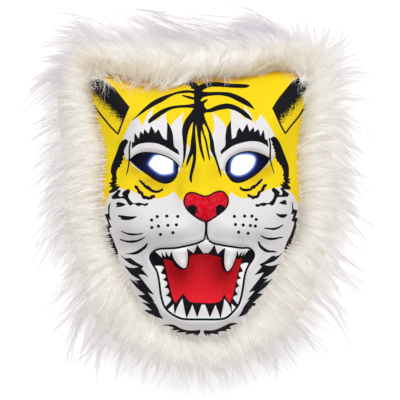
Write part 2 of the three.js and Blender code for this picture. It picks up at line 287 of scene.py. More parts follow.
# The black inside of the mouth, whose edge draws every tooth.
MOUTH_DARK = [
    (151.5, 253.6), (155, 251.5), (162.2, 258.2), (161.6, 252.3), (164, 256.3),
    (165.6, 257.1), (165.8, 251.5), (167.6, 255.4), (169.4, 256.9), (171.6, 251.3),
    (172.1, 254.6), (174, 259.5), (177.3, 263.8), (181.1, 267.1), (183.8, 268.4),
    (185.9, 267.4), (187.3, 263.3), (187.8, 257.9), (187.6, 252.5), (186.9, 248.7),
    (190.3, 251.1), (193.5, 253.3), (195.2, 250.3), (197.2, 244.9), (200, 248.9),
    (203.3, 253.3), (208.4, 253.3), (211.4, 249.8), (214.4, 244.9), (216, 250.3),
    (217.6, 254.4), (221.7, 250.3), (224.7, 248.1), (224.1, 253.6), (223.8, 259),
    (224.1, 264.4), (225.2, 268.7), (227.1, 271.4), (229.3, 270.4), (232, 266.6),
    (234.1, 261.7), (236, 256.3), (237.4, 250.8), (237.9, 253), (238.8, 256.2),
    (240.1, 254.1), (242.5, 251.1), (241, 255.6), (242, 255.8), (245.3, 251.1),
    (243.4, 256.5), (248.8, 250), (252, 250.6), (254, 254.6), (252.4, 259),
    (248.8, 263.3), (246.1, 262.5), (241.2, 263.8), (240.1, 266), (242.8, 271.4),
    (239, 272.5), (238.5, 275.2), (240.9, 278.6), (237.4, 279.3), (236.9, 282.3),
    (239.1, 286.3), (236, 287.7), (235.2, 290.9), (237.7, 294.5), (233.6, 296.4),
    (232.8, 298.5), (237.4, 304.5), (236, 307.2), (231.4, 302.9), (231.7, 312.9),
    (230.1, 306.7), (227.1, 301.8), (224.1, 298.5), (223.3, 305), (221.7, 312.1),
    (220.5, 318.3), (218.4, 311.5), (215.4, 304.5), (213, 309.9), (209.8, 317),
    (207, 308.8), (205.1, 304.5), (201.5, 304.4), (199, 311.5), (197.2, 316.9),
    (194.6, 309.9), (192.4, 304), (190, 309.9), (186.5, 318), (184.9, 310.5),
    (183.2, 302.3), (182.5, 298), (179.4, 302.9), (176.7, 308.3), (174.7, 314),
    (174.1, 308.3), (173.9, 303.4), (167.8, 309.4), (165.6, 306.9), (171, 300.7),
    (170.8, 298.3), (168.9, 296.6), (165.9, 295.8), (168.9, 292.8), (168.9, 289.9),
    (167.5, 288.2), (164.8, 287.7), (167.5, 284.4), (167, 281.7), (163.2, 279.8),
    (166.2, 276.9), (165.3, 274.7), (161, 273.2), (164.3, 267.1), (161, 265.7),
    (154.2, 265.2), (151, 261.1), (150, 257.3),
]

MOUTH_RED = [
    (163.7, 259), (167.5, 259.8), (171.8, 261.1), (174.6, 265.5), (178.4, 268.5),
    (181.6, 269.8), (184.9, 269.5), (187.6, 267.1), (188.9, 262.8), (189.7, 255.7),
    (193.5, 254.9), (198.4, 254.2), (205.4, 254.2), (210.8, 254.9), (216.3, 256.3),
    (220.9, 257.5), (220.9, 261.7), (222, 266.6), (224.4, 270.9), (227.1, 272.8),
    (229.8, 271.7), (233.1, 267.1), (235.2, 261.7), (236.3, 259.2), (242, 258.4),
    (240.7, 263.3), (238.5, 271.4), (236.9, 278.5), (235.2, 286.1), (233.1, 294.2),
    (229.8, 302.9), (226.6, 298.5), (224, 293.7), (222.8, 297.5), (220.1, 301.2),
    (214.6, 302.9), (203.3, 302.9), (191.4, 302.1), (187.6, 299.6), (185.4, 296.4),
    (183.2, 293.4), (180.5, 296.9), (175.6, 302.9), (173.5, 299.1), (171.8, 294.2),
    (169.7, 286.1), (167, 273.6), (164.8, 264.4),
]

FANGS = {
    "right": [
        (172.4, 251), (172.9, 255), (174.6, 259.4), (177.6, 263.4), (181.3, 266.7),
        (183.9, 267.8), (185.5, 266.9), (186.8, 263), (187.3, 257.9), (187.2, 252.5),
        (186.8, 249.4), (180, 247.8),
    ],
    "left": [
        (225.1, 248.8), (224.6, 253.6), (224.4, 259), (224.7, 264.2), (225.7, 268.3),
        (227.2, 270.6), (228.9, 269.9), (231.5, 266.3), (233.5, 261.5), (235.4, 256.1),
        (236.8, 250.8), (231, 247.5),
    ],
}

PRINT = [
    # The white muzzle and jaw, which run on under the fur below.
    area("white", [
        (90, 222), (103, 210.5), (105.3, 202.8), (108.3, 196.7), (110.6, 192.9), (119, 188.6),
        (125.9, 189.4), (133.6, 191.7), (141.2, 195.2), (148.9, 198.2), (156.5, 198.6),
        (164.2, 197.1), (170.3, 194), (173.7, 191.3), (177.2, 195.2), (182.5, 200.9),
        (190, 208), (222, 206), (228.2, 198.6), (230.6, 191.3), (234.4, 194.8),
        (239.8, 197.4), (245.9, 198.2), (253.6, 196.7), (261.2, 192.9), (268.9, 189.4),
        (276.5, 187.5), (281.1, 187.1), (289.5, 191.3), (293.4, 195.2), (298, 202.8),
        (310, 215), (310, 300), (280, 350), (120, 350), (90, 300),
    ]),
    # The white patches over and round the eyes.
    area("white", [
        (124, 151.5), (122.8, 139.5), (126.6, 130.6), (131.7, 121), (137.4, 117.2),
        (140, 121.7), (142.8, 125.5), (144.4, 121.7), (148.3, 114), (154, 106.7),
        (152.7, 110.8), (151.5, 120), (155, 121), (166.1, 112.8), (165.8, 116.6),
        (166.4, 121), (167.6, 122.8), (171.2, 126.3), (173.8, 121.7), (178.9, 116.6),
        (184.3, 112.1), (182.7, 116.6), (182.1, 121), (184, 135), (187, 143.4),
        (189.8, 149.3), (188.4, 154.2), (184.7, 160.2), (181.4, 167.6), (178.2, 173.8),
        (170, 176), (150, 172), (142.2, 172), (138, 169.7), (134, 166.4), (131, 163.2),
        (129, 160.8), (127, 159.6), (125.5, 158),
    ]),
    area("white", [
        (275.4, 136.9), (271.2, 128.9), (265.8, 120.5), (260.5, 114), (258.4, 118.4),
        (254.7, 123.1), (249.9, 113.1), (243.6, 104.4), (245.3, 112), (245.9, 121.2),
        (242.9, 116.6), (236.7, 111.3), (230.2, 109.4), (231, 117.4), (230, 122.5),
        (226.4, 128.1), (224.5, 124.3), (219.1, 118.2), (212.3, 112.1), (213.4, 117.8),
        (214.5, 125), (212, 138.9), (209.7, 150), (209.5, 153), (212.8, 156.4),
        (215.7, 160.7), (220, 168.8), (222.4, 170.7), (225.8, 174.2), (235, 176),
        (252, 170), (258.6, 173), (265, 167.4), (269.6, 162.6), (272.6, 159.5),
        (274.6, 154.9), (273.8, 148), (271.9, 140.4),
    ]),
    # The forehead's trunk and its stripes to the wearer's right, from the top.
    area("black", [
        (194.2, 88.5), (198.5, 86), (201.8, 90.3), (203, 92.5), (202.8, 97.3),
        (200.2, 100.1), (201.8, 101.8), (204, 104), (204, 114.5), (204.7, 117.8),
        (203, 124.5), (202.5, 125.5), (201.1, 129.8), (198, 127), (195.6, 124),
        (193.7, 120.2), (194, 108), (194.2, 98),
    ]),
    area("black", [
        (181.7, 82), (186.5, 79.6), (193.7, 82), (198.5, 86), (199, 90.5), (193.9, 89.1),
        (190.8, 88.4), (191.5, 87), (188.9, 85.3), (185.6, 83.9),
    ]),
    area("black", [
        (195.5, 90.9), (186.5, 90.3), (179.3, 91.3), (172.2, 93.4), (164.2, 96),
        (154.6, 100.2), (146, 106.6), (138.1, 114.4), (132.3, 120.6), (137.6, 116.4),
        (145.7, 110.8), (154.6, 105.4), (161.4, 102), (169.8, 96.8), (177, 93.9),
        (184.1, 93), (191.8, 93), (196.5, 95.8),
    ]),
    line("black", (0.8, 2.2, 2.4), [(182.2, 95.4), (188.9, 97.3), (195.5, 99)]),
    area("black", [
        (195, 103.5), (188, 104.7), (179.3, 105.4), (170.6, 106.6), (161, 110.2),
        (153.4, 115.3), (148.9, 119.8), (148.2, 122.3), (149.5, 123.3), (154.6, 119.8),
        (164.2, 113.2), (170.6, 109.6), (177, 108), (186.5, 107.5), (195, 108.2),
    ]),
    # The stripes to the wearer's left.
    area("black", [
        (198, 86.4), (202.3, 83.9), (208, 82.7), (215.2, 82.2), (222.4, 82.7),
        (230.6, 83.7), (245.9, 84.5), (250.1, 85.6), (245.9, 87.6), (234.4, 87.6),
        (223, 86.8), (217.6, 86.5), (210.4, 86.7), (205.7, 88.4), (201.6, 90.6), (198, 91),
    ]),
    area("black", [
        (201, 91.5), (204.2, 91.8), (208, 92.2), (217.6, 92), (224.8, 92.2), (230.6, 92.9),
        (240.6, 96.7), (249, 102.1), (254.7, 109.4), (245.9, 105.2), (238.3, 101.3),
        (230.6, 97.5), (224.8, 95.8), (217.6, 95.1), (210.4, 95.6), (205.7, 96.5),
        (202.8, 97.3), (200.2, 100.1),
    ]),
    area("black", [
        (201.5, 101.8), (204.7, 100.1), (207.1, 99.2), (207.8, 100.1), (205.7, 102),
        (203, 104.4),
    ]),
    area("black", [
        (203, 104.6), (206.1, 108.7), (207.1, 109.5), (210.9, 108.3), (217.6, 105.4),
        (226.8, 103.6), (234.4, 105.2), (242.9, 109.7), (249, 115.1), (252.8, 120.8),
        (245.9, 117.4), (238.3, 112), (229.6, 108.7), (224.8, 109), (217.6, 110.4),
        (210.9, 112.1), (205.7, 112.6), (203, 115.5),
    ]),
    # The five strands that hang from the trunk to the bridge of the nose.
    area("black", [
        (193.9, 108.3), (189.9, 114), (185.6, 119.7), (183.2, 125.5), (182.2, 131.2),
        (182.7, 138.2), (183.4, 146.8), (183.4, 155.9), (182.7, 163), (181.9, 166.8),
        (184.1, 160.7), (185.3, 155.9), (186, 149.7), (186.5, 143.9), (187.2, 136.7),
        (188.9, 129.6), (190.8, 125), (193.7, 120.2), (196, 108.3),
    ]),
    area("black", [
        (194, 117), (193, 125), (192.3, 132.2), (191.3, 139.4), (190.1, 149.7),
        (188.4, 155.4), (186.8, 161.1), (186, 166.6), (187.5, 164.5), (190.4, 158.3),
        (192.6, 153.3), (193.2, 156.4), (192.7, 161.1), (191.5, 166.9), (190.1, 172.6),
        (189.6, 177.4), (190.1, 180.7), (191.8, 182.9), (192, 176.4), (193.2, 171.7),
        (194.7, 165.9), (195.6, 160.7), (196.1, 153.5), (196.1, 146.3), (195.6, 139.1),
        (195.1, 129.6), (195.6, 122),
    ]),
    area("black", [
        (195.6, 121), (196.6, 127.4), (197.5, 134.3), (198.5, 141.5), (199.7, 148.7),
        (201.4, 154.4), (203.3, 159.2), (204.7, 161.8), (204.2, 158.3), (203.3, 153.5),
        (202.1, 147.7), (201.1, 141.5), (200.9, 134.3), (201.2, 126),
    ]),
    area("black", [
        (200.6, 126), (203.3, 135.3), (205.2, 141.5), (206.6, 148.7), (208, 155.4),
        (209.6, 160.6), (210, 159.2), (209, 153.5), (208, 147.7), (206.6, 140.6),
        (204.2, 133.4), (202.5, 125.5), (202, 118),
    ]),
    area("black", [
        (202, 121), (205.2, 125.3), (208, 131), (209.5, 138.2), (210.2, 144.9),
        (210.7, 149.7), (212.8, 154.4), (215.2, 159.7), (217.1, 165.4), (219, 171.7),
        (221.2, 177.1), (221.2, 175), (220, 169.7), (218.1, 163), (216.2, 156.8),
        (214.7, 151.1), (213.8, 143.9), (212.8, 139.1), (210.9, 132.9), (208, 126.2),
        (204.7, 117.8), (203, 113),
    ]),
    # The lashes.
    area("black", [
        (132, 148.4), (132.1, 142.5), (134.3, 142.3), (134.7, 133.1), (138.9, 139.2),
        (140.5, 131.6), (143.5, 134.6), (144.3, 129.3), (148.5, 133.9), (151.2, 126.2),
        (155.4, 133.5), (158.4, 129.3), (163, 138.1), (166.9, 140.4), (167.2, 131),
        (167.4, 122.2), (170.3, 127.3), (172.6, 134.2), (174.1, 146.5), (177.8, 150.2),
        (179.1, 154.9), (172.5, 150.9), (166.1, 147.1), (158.5, 143.7), (151.5, 142.6),
        (143.2, 142.9), (137.4, 144.6),
    ]),
    area("black", [
        (221.2, 154.3), (221, 151.1), (225.3, 145.7), (225.6, 136.5), (226.8, 128.1),
        (228.7, 124.3), (230.7, 120.6), (231, 128.9), (231.8, 139.2), (235.6, 137.3),
        (237.5, 131.2), (239.4, 127.7), (242.5, 132.3), (247.1, 123.9), (249.4, 131.9),
        (253.6, 127.3), (254.3, 132.3), (258.5, 129.3), (260.5, 136.5), (263.5, 130),
        (265, 139.6), (267.3, 140), (268.2, 146.9), (265, 144.2), (258.2, 141.5),
        (249.7, 141.1), (241.3, 142.7), (232.9, 145.7), (226, 150.3),
    ]),
    # The black bands beside the eyes, ragged on the inside, with a tuft at the foot.
    area("black", [
        (122.9, 140.4), (125.9, 139.2), (128.2, 141.5), (125.6, 146.4), (123.7, 151),
        (124.3, 154.5), (122.4, 156.8), (123.4, 159.3), (121.5, 161.2), (122.1, 164.1),
        (119.9, 163.8), (120.2, 166.6), (118.3, 167.6), (116.4, 172.1), (116.4, 176.8),
        (117.3, 178.6), (115.8, 180.1), (116.9, 181.7), (114.4, 184.6), (118.2, 184.2),
        (114.8, 187), (119.8, 185.9), (117.3, 189.9), (110.6, 192.9), (108.4, 192),
        (112, 188.8), (112.4, 186.8), (109.3, 186.8), (111.5, 184.6), (108.8, 183.5),
        (112, 181.7), (112.6, 180.1), (110.6, 179.7), (112.2, 177.7), (112.2, 175.5),
        (111, 172.5), (111.4, 167.1), (113.7, 160.3), (116.7, 152.6), (119.8, 144.2),
    ]),
    area("black", [
        (270.4, 138.8), (273.5, 136.5), (276.5, 138.1), (279.6, 142.7), (282.7, 150.3),
        (285.7, 158), (288.4, 165.6), (288.8, 171), (288.8, 176.8), (287.6, 177.8),
        (290.8, 179.7), (288.2, 180.6), (290.6, 183), (287.1, 183.7), (290.8, 187.7),
        (289.7, 189.5), (283.9, 188.8), (282.1, 186.4), (280.1, 183.7), (283.9, 184.8),
        (282.1, 182.1), (285.3, 182.1), (283.3, 178.3), (284.6, 176.8), (283, 175.7),
        (283.8, 172.1), (282.7, 168.7), (281.1, 164.8), (280, 164.9), (278.8, 161.8),
        (277.3, 161.8), (276.5, 158.7), (275.1, 157.5), (276.2, 156.4), (274.9, 154.6),
        (276, 153.2), (274.4, 151.2), (275.2, 149.8), (273.4, 148.2), (274, 146.6),
        (272.2, 144.6), (272.6, 142.6),
    ]),
    # The fine fold lines at the outer corners of the eyes.
    line("black", (1.0, 1.3, 0.4), [
        (130.5, 141.1), (129.4, 148), (129.3, 158.7), (128.8, 164.3), (127.4, 171),
        (126.3, 175.2),
    ]),
    line("black", (1.0, 1.3, 0.4), [
        (269.3, 138.1), (270.4, 145.7), (270, 157.2), (271.2, 163.3), (272.7, 168.7),
        (274.2, 173.3),
    ]),
    # The wavy lines under the eyes.
    area("black", [
        (139, 180), (140.3, 180.6), (141.6, 181.3), (142.6, 182.5), (143.8, 183),
        (145, 185), (146.5, 185.7), (147.6, 186.1), (149.2, 186.6), (149.8, 188),
        (151, 188.4), (152, 189.6), (154, 190.3), (155.5, 191), (156.5, 190.8),
        (158.3, 190.9), (159.5, 190.3), (161, 189.8), (161.9, 188.9), (162.2, 188.5),
        (162.9, 189.5), (161.8, 190.6), (160.4, 191.2), (159, 192.3), (157, 192.3),
        (155.6, 192.9), (154, 192.1), (152.4, 192.1), (151, 191.1), (149.6, 190.7),
        (148.4, 189.2), (146.6, 188.8), (145.7, 187.4), (144.2, 186.8), (143.2, 184.9),
        (141.7, 183.6), (140.9, 182.2), (139.6, 181.2),
    ], inset=-0.3),
    area("black", [
        (134.9, 185.6), (136.3, 185.9), (137.6, 186.8), (138, 188.2), (139.2, 189.4),
        (139.8, 190.9), (141.8, 191.8), (142.9, 193.3), (143.2, 195), (144, 196),
        (146.2, 196.3), (148, 197.2), (150, 197.2), (150.9, 196.2), (152.4, 195.4),
        (154.2, 195.4), (154.9, 196.2), (154.3, 197.4), (152.6, 197.9), (151.8, 198.9),
        (150, 199), (148.8, 199.7), (147.6, 199.2), (146.2, 198.5), (144.4, 198.9),
        (143, 198.2), (141.9, 196.3), (141.5, 194.6), (139.7, 193.6), (138.3, 192.7),
        (137.8, 191), (137, 189.5), (135.4, 188), (134.8, 186.9),
    ], inset=-0.3),
    area("black", [
        (239.9, 187), (240.7, 187.2), (241.6, 188.4), (243.2, 188.7), (244.6, 189.3),
        (245.6, 188.9), (246.6, 189.5), (247.9, 188.8), (249, 189.1), (250.3, 188.2),
        (251.4, 187.4), (251.7, 186.2), (253, 185.9), (254.2, 185), (254.9, 185.3),
        (256, 184.6), (257.2, 183.4), (258.2, 181.8), (259.6, 181.1), (260.4, 180),
        (262, 179), (262.4, 179.8), (261.2, 181.2), (260.3, 182.2), (259.6, 183.4),
        (258.2, 184.2), (257, 185.8), (255.6, 186.4), (255, 187.6), (253.8, 188.4),
        (252.6, 188.2), (251.6, 189.8), (250, 190.1), (248.8, 190.9), (247.6, 190.6),
        (246.8, 191.4), (245.4, 190.7), (243.6, 191), (242.6, 190.2), (240.9, 189.6),
        (240.2, 188.2),
    ], inset=-0.3),
    area("black", [
        (247.5, 194.6), (249.2, 194.5), (250.6, 195.6), (252, 196), (253.4, 196.7),
        (254.6, 195.9), (256.2, 196), (257.3, 195), (257.8, 193.4), (258.2, 192),
        (259.8, 191), (261.2, 190.1), (261.8, 189), (262, 187.4), (263, 186.6),
        (263.4, 185.2), (264.8, 184.8), (266.5, 184.2), (266.6, 185.2), (265.7, 186.4),
        (264.8, 187.2), (264, 188.6), (264.2, 189.8), (262.8, 190.8), (261.4, 191.6),
        (260.2, 192.7), (259.6, 194), (259.4, 195.4), (258.4, 196.9), (256.6, 198),
        (255, 197.7), (253.6, 199), (252.2, 198.6), (251.2, 197.4), (249.4, 197),
        (248.2, 196.4),
    ], inset=-0.3),
    # The marks on the cheek to the wearer's right.
    area("black", [
        (111.5, 196.9), (117.3, 191.1), (118.2, 190), (120.4, 190.2), (120.4, 191.5),
        (118.4, 194.2), (118.7, 196), (120.4, 196.9), (122.7, 196.2), (123.3, 195.3),
        (122.2, 194.2), (122.5, 192.9), (127.1, 189.5), (128.9, 189.3), (130, 190.6),
        (129.4, 192.9), (128.3, 194.6), (128.3, 197.3), (129.8, 200), (133.4, 203.6),
        (130.3, 205.6), (128.5, 204), (126.3, 200.4), (123.6, 198.4), (118.7, 198.4),
        (112.9, 199.1),
    ]),
    area("black", [
        (131.6, 203.9), (135.2, 203.4), (138.8, 202.7), (142.3, 203.5), (144.6, 204),
        (146.8, 203), (148.1, 203.6), (147.7, 204.9), (144.6, 205.8), (142.3, 204.9),
        (139.6, 205.8), (137.4, 205.8), (135.6, 204.5),
    ]),
    area("black", [
        (115.8, 204.2), (117.8, 202.2), (121.8, 202.9), (125.8, 204.5), (121.8, 206.3),
        (116.4, 207.1), (116, 206.3), (118.2, 205.8),
    ]),
    area("black", [
        (118, 215.4), (120, 215.4), (130.7, 216.5), (136.9, 216.4), (135.2, 217.6),
        (131.6, 219.2), (127.1, 219.9), (122.7, 219.6), (120.4, 218.8), (121.8, 217.6),
        (118.7, 216.7),
    ]),
    line("black", (0.5, 1.9, 0.6), [
        (120.9, 231), (125.4, 233), (130.7, 234.3), (137.4, 234.3), (142.8, 233.3),
    ]),
    line("black", (0.7, 2.2, 0.6), [
        (119.8, 239.3), (125.4, 241.1), (130.7, 241.7), (137.4, 240.8), (142.3, 238.6),
        (144.8, 237.1),
    ]),
    area("black", [
        (125.4, 253.8), (129.4, 253.4), (135.2, 251.8), (140.9, 248.6), (144.9, 245.5),
        (147, 242.9), (147.7, 243.7), (146.1, 247.5), (142.1, 250.9), (138.1, 253.5),
        (134, 254.4),
    ]),
    area("black", [
        (110.6, 202.7), (108.8, 205.4), (108.2, 208.9), (108.4, 213.4), (104.8, 214.5),
        (106.2, 217.4), (107.9, 221.9), (108.8, 224.3), (106.6, 224.6), (105.7, 226.3),
        (107.5, 228.6), (108.6, 234.4), (111.2, 241.5), (113.6, 248), (117.9, 259.7),
        (117.6, 252), (114.6, 243.8), (112.9, 239.3), (110.2, 233), (108.8, 228.6),
        (111.5, 226.8), (109.3, 222.3), (108.6, 218.8), (110.8, 219.9), (109.7, 216.5),
        (109.3, 210.7), (109.7, 206.3),
    ]),
    area("black", [
        (105, 231), (108.8, 234), (112, 240), (114.6, 247), (117, 254), (118.2, 260),
        (115.5, 259), (111, 252), (107, 243),
    ]),
    # The marks on the cheek to the wearer's left.
    area("black", [
        (271.9, 189.3), (273.2, 187.9), (275, 188.4), (279.5, 192), (279.7, 192.9),
        (278.8, 194.2), (279.7, 195.1), (281.7, 195.1), (282.8, 193.3), (282.1, 191.1),
        (280.4, 188.8), (281.3, 187.7), (283.5, 187.9), (283.9, 189.7), (289.3, 194.2),
        (288.4, 194.6), (287.9, 196.4), (283, 196.9), (278.6, 196.9), (276.8, 197.8),
        (275.4, 201.3), (273.2, 204.9), (271.9, 205.6), (269.2, 204.2), (267.4, 204.2),
        (265.2, 205.4), (262.9, 206), (260.7, 205.4), (258.5, 206.7), (255.8, 206.3),
        (255.3, 204.9), (256.7, 204), (258.5, 204.5), (260.7, 203.3), (263.8, 202.9),
        (268.8, 203.1), (270.5, 201.8), (273.2, 198.7), (274.3, 195.1), (274.1, 192.9),
        (272.3, 191.1),
    ]),
    area("black", [
        (279, 202.9), (284.8, 200), (286.6, 201.3), (285.7, 202.2), (286.6, 203.6),
        (286.6, 204.7), (281.3, 203.8),
    ]),
    area("black", [
        (275.9, 213.2), (278.6, 214.3), (283.9, 214.3), (286.8, 214.3), (287.1, 215.6),
        (285.3, 216.7), (284.8, 217.6), (281.3, 217.6), (278.6, 216.3), (276.8, 214.5),
    ]),
    line("black", (0.6, 2.0, 0.6), [
        (264.1, 228.1), (268.8, 228.6), (273.2, 229), (277.7, 227.9), (283, 225),
    ]),
    line("black", (0.8, 2.2, 0.6), [
        (260.7, 235.5), (264.7, 237.7), (268.8, 238.8), (274.1, 238.8), (279.5, 237.7),
        (282.8, 237.1),
    ]),
    area("black", [
        (258, 241.1), (258.3, 244), (260, 247.5), (262.9, 250.3), (266.3, 252.1),
        (270.9, 252.3), (277.8, 252.1), (273.8, 250.9), (268.6, 250.3), (264, 247.7),
        (260.6, 244.6), (258.9, 241.4),
    ]),
    area("black", [
        (292, 201.3), (292.6, 203.6), (293.5, 209.4), (297.5, 210.3), (296.4, 214.3),
        (295.1, 217.9), (297.8, 218.5), (297.5, 220.1), (296.7, 221), (295.5, 226.3),
        (293.8, 233), (292, 237.5), (289.3, 245.2), (285.9, 249.4), (284.2, 252),
        (285, 247.5), (287.3, 241.9), (291.1, 233.9), (293.3, 227.7), (294.6, 221.9),
        (291.5, 220.5), (292.9, 217.9), (294, 213.4), (291.1, 214.3), (292.2, 210.7),
        (292.2, 206.3),
    ]),
    area("black", [
        (297.5, 224), (294.6, 228), (292.4, 235), (289.6, 242), (286, 249), (284.2, 252),
        (287.5, 251.5), (292, 245), (296.5, 236),
    ]),
    # The ragged tufts down both sides of the jaw.
    area("black", [
        (120.8, 255), (124.3, 258), (127.6, 258.4), (130, 258.1), (135.2, 261.8),
        (140.9, 265.2), (143.4, 266.3), (141.2, 268.7), (148.3, 276.9), (143.8, 274.7),
        (138.3, 274.2), (139.8, 276.7), (153.8, 294.7), (150.1, 293.1), (147, 291.7),
        (150.1, 295.7), (154.6, 302.2), (152.1, 301.4), (155.3, 304.3), (158.1, 309.5),
        (159.9, 314.1), (163.2, 318.8), (155.9, 316.6), (149.5, 313.5), (143.6, 309.6),
        (148.4, 310.3), (152.4, 310.6), (144.9, 304.3), (141.9, 302.2), (146.1, 303.1),
        (150.1, 304), (143.2, 299.1), (138.1, 295.3), (142.1, 295.1), (145.5, 294.8),
        (137.5, 288.2), (134, 284.2), (129.9, 278.8), (134.6, 281.9), (139.2, 284.8),
        (134.7, 280), (137.5, 280.8), (140.6, 279.6), (137.5, 278.2), (131.7, 274.4),
        (127.7, 269.8), (124.4, 265.7), (127.7, 267.3), (131.7, 268.1), (135.2, 268),
        (139.2, 266.7), (132.3, 264.7), (127.7, 261.8), (124.3, 258.9),
    ]),
    area("black", [
        (282.6, 252.4), (279, 255.5), (275.5, 256.4), (273.2, 255.8), (270.9, 257.2),
        (265.2, 261.5), (259.8, 264.4), (262, 267), (258.9, 270.4), (254.8, 275),
        (258.9, 273.6), (264.3, 272.1), (262.3, 275), (257.1, 281.9), (248.9, 292.5),
        (252.5, 291.1), (255.3, 290.3), (252.5, 294), (247.5, 299.8), (250, 299.1),
        (246.8, 303.1), (243.9, 307.2), (241.6, 312.3), (238.4, 316.7), (241.1, 316.1),
        (246.2, 314), (248, 313.2), (249.7, 308.9), (253.7, 306), (256.5, 303.3),
        (254.6, 303.1), (252.3, 303), (255.4, 300.3), (259.4, 296.8), (263.1, 294.1),
        (260.6, 293.7), (257.4, 293.4), (260, 291.1), (265.2, 287.1), (269.2, 282.5),
        (272.6, 278.3), (269.2, 280.8), (263.2, 283.1), (265.2, 281.3), (268, 278.3),
        (265.2, 278.8), (262.3, 278.5), (268.1, 275.6), (273.2, 271.6), (279, 264.1),
        (276.1, 265), (270.4, 266.1), (264, 265), (267.5, 263.5), (273.8, 261.2),
        (277.2, 258.4), (280.1, 255.5),
    ]),
    # The tufts under the chin.
    area("black", [
        (161.9, 324.8), (167.9, 324.8), (172.3, 324.7), (175.5, 325.8), (180.6, 328.5),
        (186.4, 330.3), (193.4, 330.7), (200.1, 330), (200.1, 332), (198.5, 334.2),
        (195.5, 336.4), (196.9, 333.9), (194.6, 334.6), (192.8, 336.1), (194.6, 333.3),
        (190.8, 333.7), (187.6, 334.2), (183.6, 335.3), (185.7, 333.6), (187.6, 332.2),
        (182.5, 332.2), (175.6, 332.3), (178.7, 331), (180.3, 329.9), (174.9, 330.1),
        (169.3, 330.8), (172.3, 329.1), (174.6, 328.2), (171.7, 326.7), (167.2, 325.6),
    ]),
    area("black", [
        (238.2, 323.5), (234.8, 323.1), (229.7, 323.5), (225.3, 325.6), (217.6, 329.1),
        (211.2, 330.5), (204.2, 330.4), (203.9, 333), (206.9, 336.2), (206.4, 333.9),
        (208, 334.2), (210.4, 336.1), (209.3, 333.6), (212.5, 333.6), (218.8, 334.3),
        (217.7, 332), (221.4, 331), (226.7, 331), (225.6, 329.1), (227.8, 329),
        (231.5, 328.7), (229.1, 326.9), (232.3, 325.3), (235.5, 324.3),
    ]),
    # The nose and the line under it, which parts into the two lips.
    area("black", NOSE),
    area("nose red", NOSE, inset=1.5),
    *[area("black", nostril) for nostril in NOSTRILS],
    line("black", (2.6, 2.0, 2.8), [(206.3, 221.4), (206.3, 228), (205.9, 235)]),
    line(
        "black", (1.3, 1.4, 1.5),
        [(205.9, 230), (205, 236.1), (203.8, 240.2), (200.4, 242.2)],
    ),
    line(
        "black", (1.3, 1.4, 1.5),
        [(206.2, 230), (207.2, 236.1), (208.9, 240.7), (212.2, 242.7)],
    ),
    # The open mouth.
    area("tooth", LIP_LINE),
    area("black", MOUTH_DARK),
    area("mouth red", MOUTH_RED),
    line("black", (1.6, 1.8, 1.6), LIP_LINE),
    # The eyes' dark edges and the ears.
    *[area("black", outline) for outline in EYES.values()],
    *[area("ear", outline) for outline in EARS.values()],
    *[line("black", (1.3, 1.3, 1.3), EARS[side][5:]) for side in EARS],
    # The whiskers' dots.
    *[dot("black", x, y, 1.45) for x, y in [
        (177.7, 216.4), (166.8, 216.1), (157.3, 216.6), (151.6, 220.1), (176.4, 224.8),
        (167.9, 225.3), (158.4, 226.2), (151.8, 227.5), (172.9, 232.7), (160.5, 234.5),
        (234.4, 216.4), (244.7, 216.1), (251.9, 216.1), (256.2, 219.5), (235.5, 224.5),
        (243.2, 225), (250.4, 225.5), (255.4, 226.1), (238.6, 232.2), (248.1, 233.4),
    ]],
]


def curve_through(points, closed, step=1.0):
    """A smooth line through points, broken at every corner sharper than CORNER."""
    p = np.asarray(points, float)
    count = len(p)
    ahead = np.roll(p, -1, axis=0) - p
    behind = np.roll(ahead, 1, axis=0)
    length = np.hypot(*ahead.T)
    turn = np.abs(
        np.arctan2(
            behind[:, 0] * ahead[:, 1] - behind[:, 1] * ahead[:, 0],
            (behind * ahead).sum(1),
        )
    )
    corner = turn > CORNER
    if not closed:
        corner[[0, -1]] = True
    drawn = []
    for i in range(count if closed else count - 1):
        j = (i + 1) % count
        start = ahead[i] if corner[i] else (ahead[i] + behind[i]) / 2
        end = ahead[i] if corner[j] else (ahead[i] + ahead[j]) / 2
        start = start * length[i] / max(np.hypot(*start), 1e-6)
        end = end * length[i] / max(np.hypot(*end), 1e-6)
        pieces = max(int(math.ceil(length[i] / step)), 1)
        t = (np.arange(pieces) / pieces)[:, None]
        drawn.append(
            p[i] * (1 + 2 * t) * (1 - t) ** 2
            + start * t * (1 - t) ** 2
            + p[j] * t * t * (3 - 2 * t)
            + end * t * t * (t - 1)
        )
    if not closed:
        drawn.append(p[-1:])
    return np.vstack(drawn)


def normals_of(path, closed):
    """Unit vectors to the left of a path at each of its points."""
    if closed:
        along = np.roll(path, -1, axis=0) - np.roll(path, 1, axis=0)
    else:
        along = np.gradient(path, axis=0)
    along /= np.maximum(np.hypot(*along.T), 1e-9)[:, None]
    return np.stack([-along[:, 1], along[:, 0]], axis=1)


def signed_area(outline):
    ahead = np.roll(outline, -1, axis=0)
    return 0.5 * (outline[:, 0] * ahead[:, 1] - outline[:, 1] * ahead[:, 0]).sum()


def moved_in(outline, distance):
    """A closed outline moved to its inside."""
    side = 1 if signed_area(outline) > 0 else -1
    return outline + side * distance * normals_of(outline, True)


def brushed(path, widths):
    """The outline of a brush line whose width runs through three values."""
    centre = curve_through(path, False)
    share = np.linspace(0, 1, len(centre))
    half = (np.interp(share, [0, 0.5, 1], widths)[:, None] + INK) / 2
    side = normals_of(centre, False) * half
    return np.vstack([centre + side, (centre - side)[::-1]])


def outline_of(mark):
    """A printed mark's outline in plan."""
    if "widths" in mark:
        drawn = brushed(mark["points"], mark["widths"])
    else:
        drawn = curve_through(mark["points"], True)
        inset = mark["inset"] - (INK / 2 if mark["paint"] == "black" else 0)
        drawn = moved_in(drawn, inset)
    return from_photo(drawn, mark["lift"])


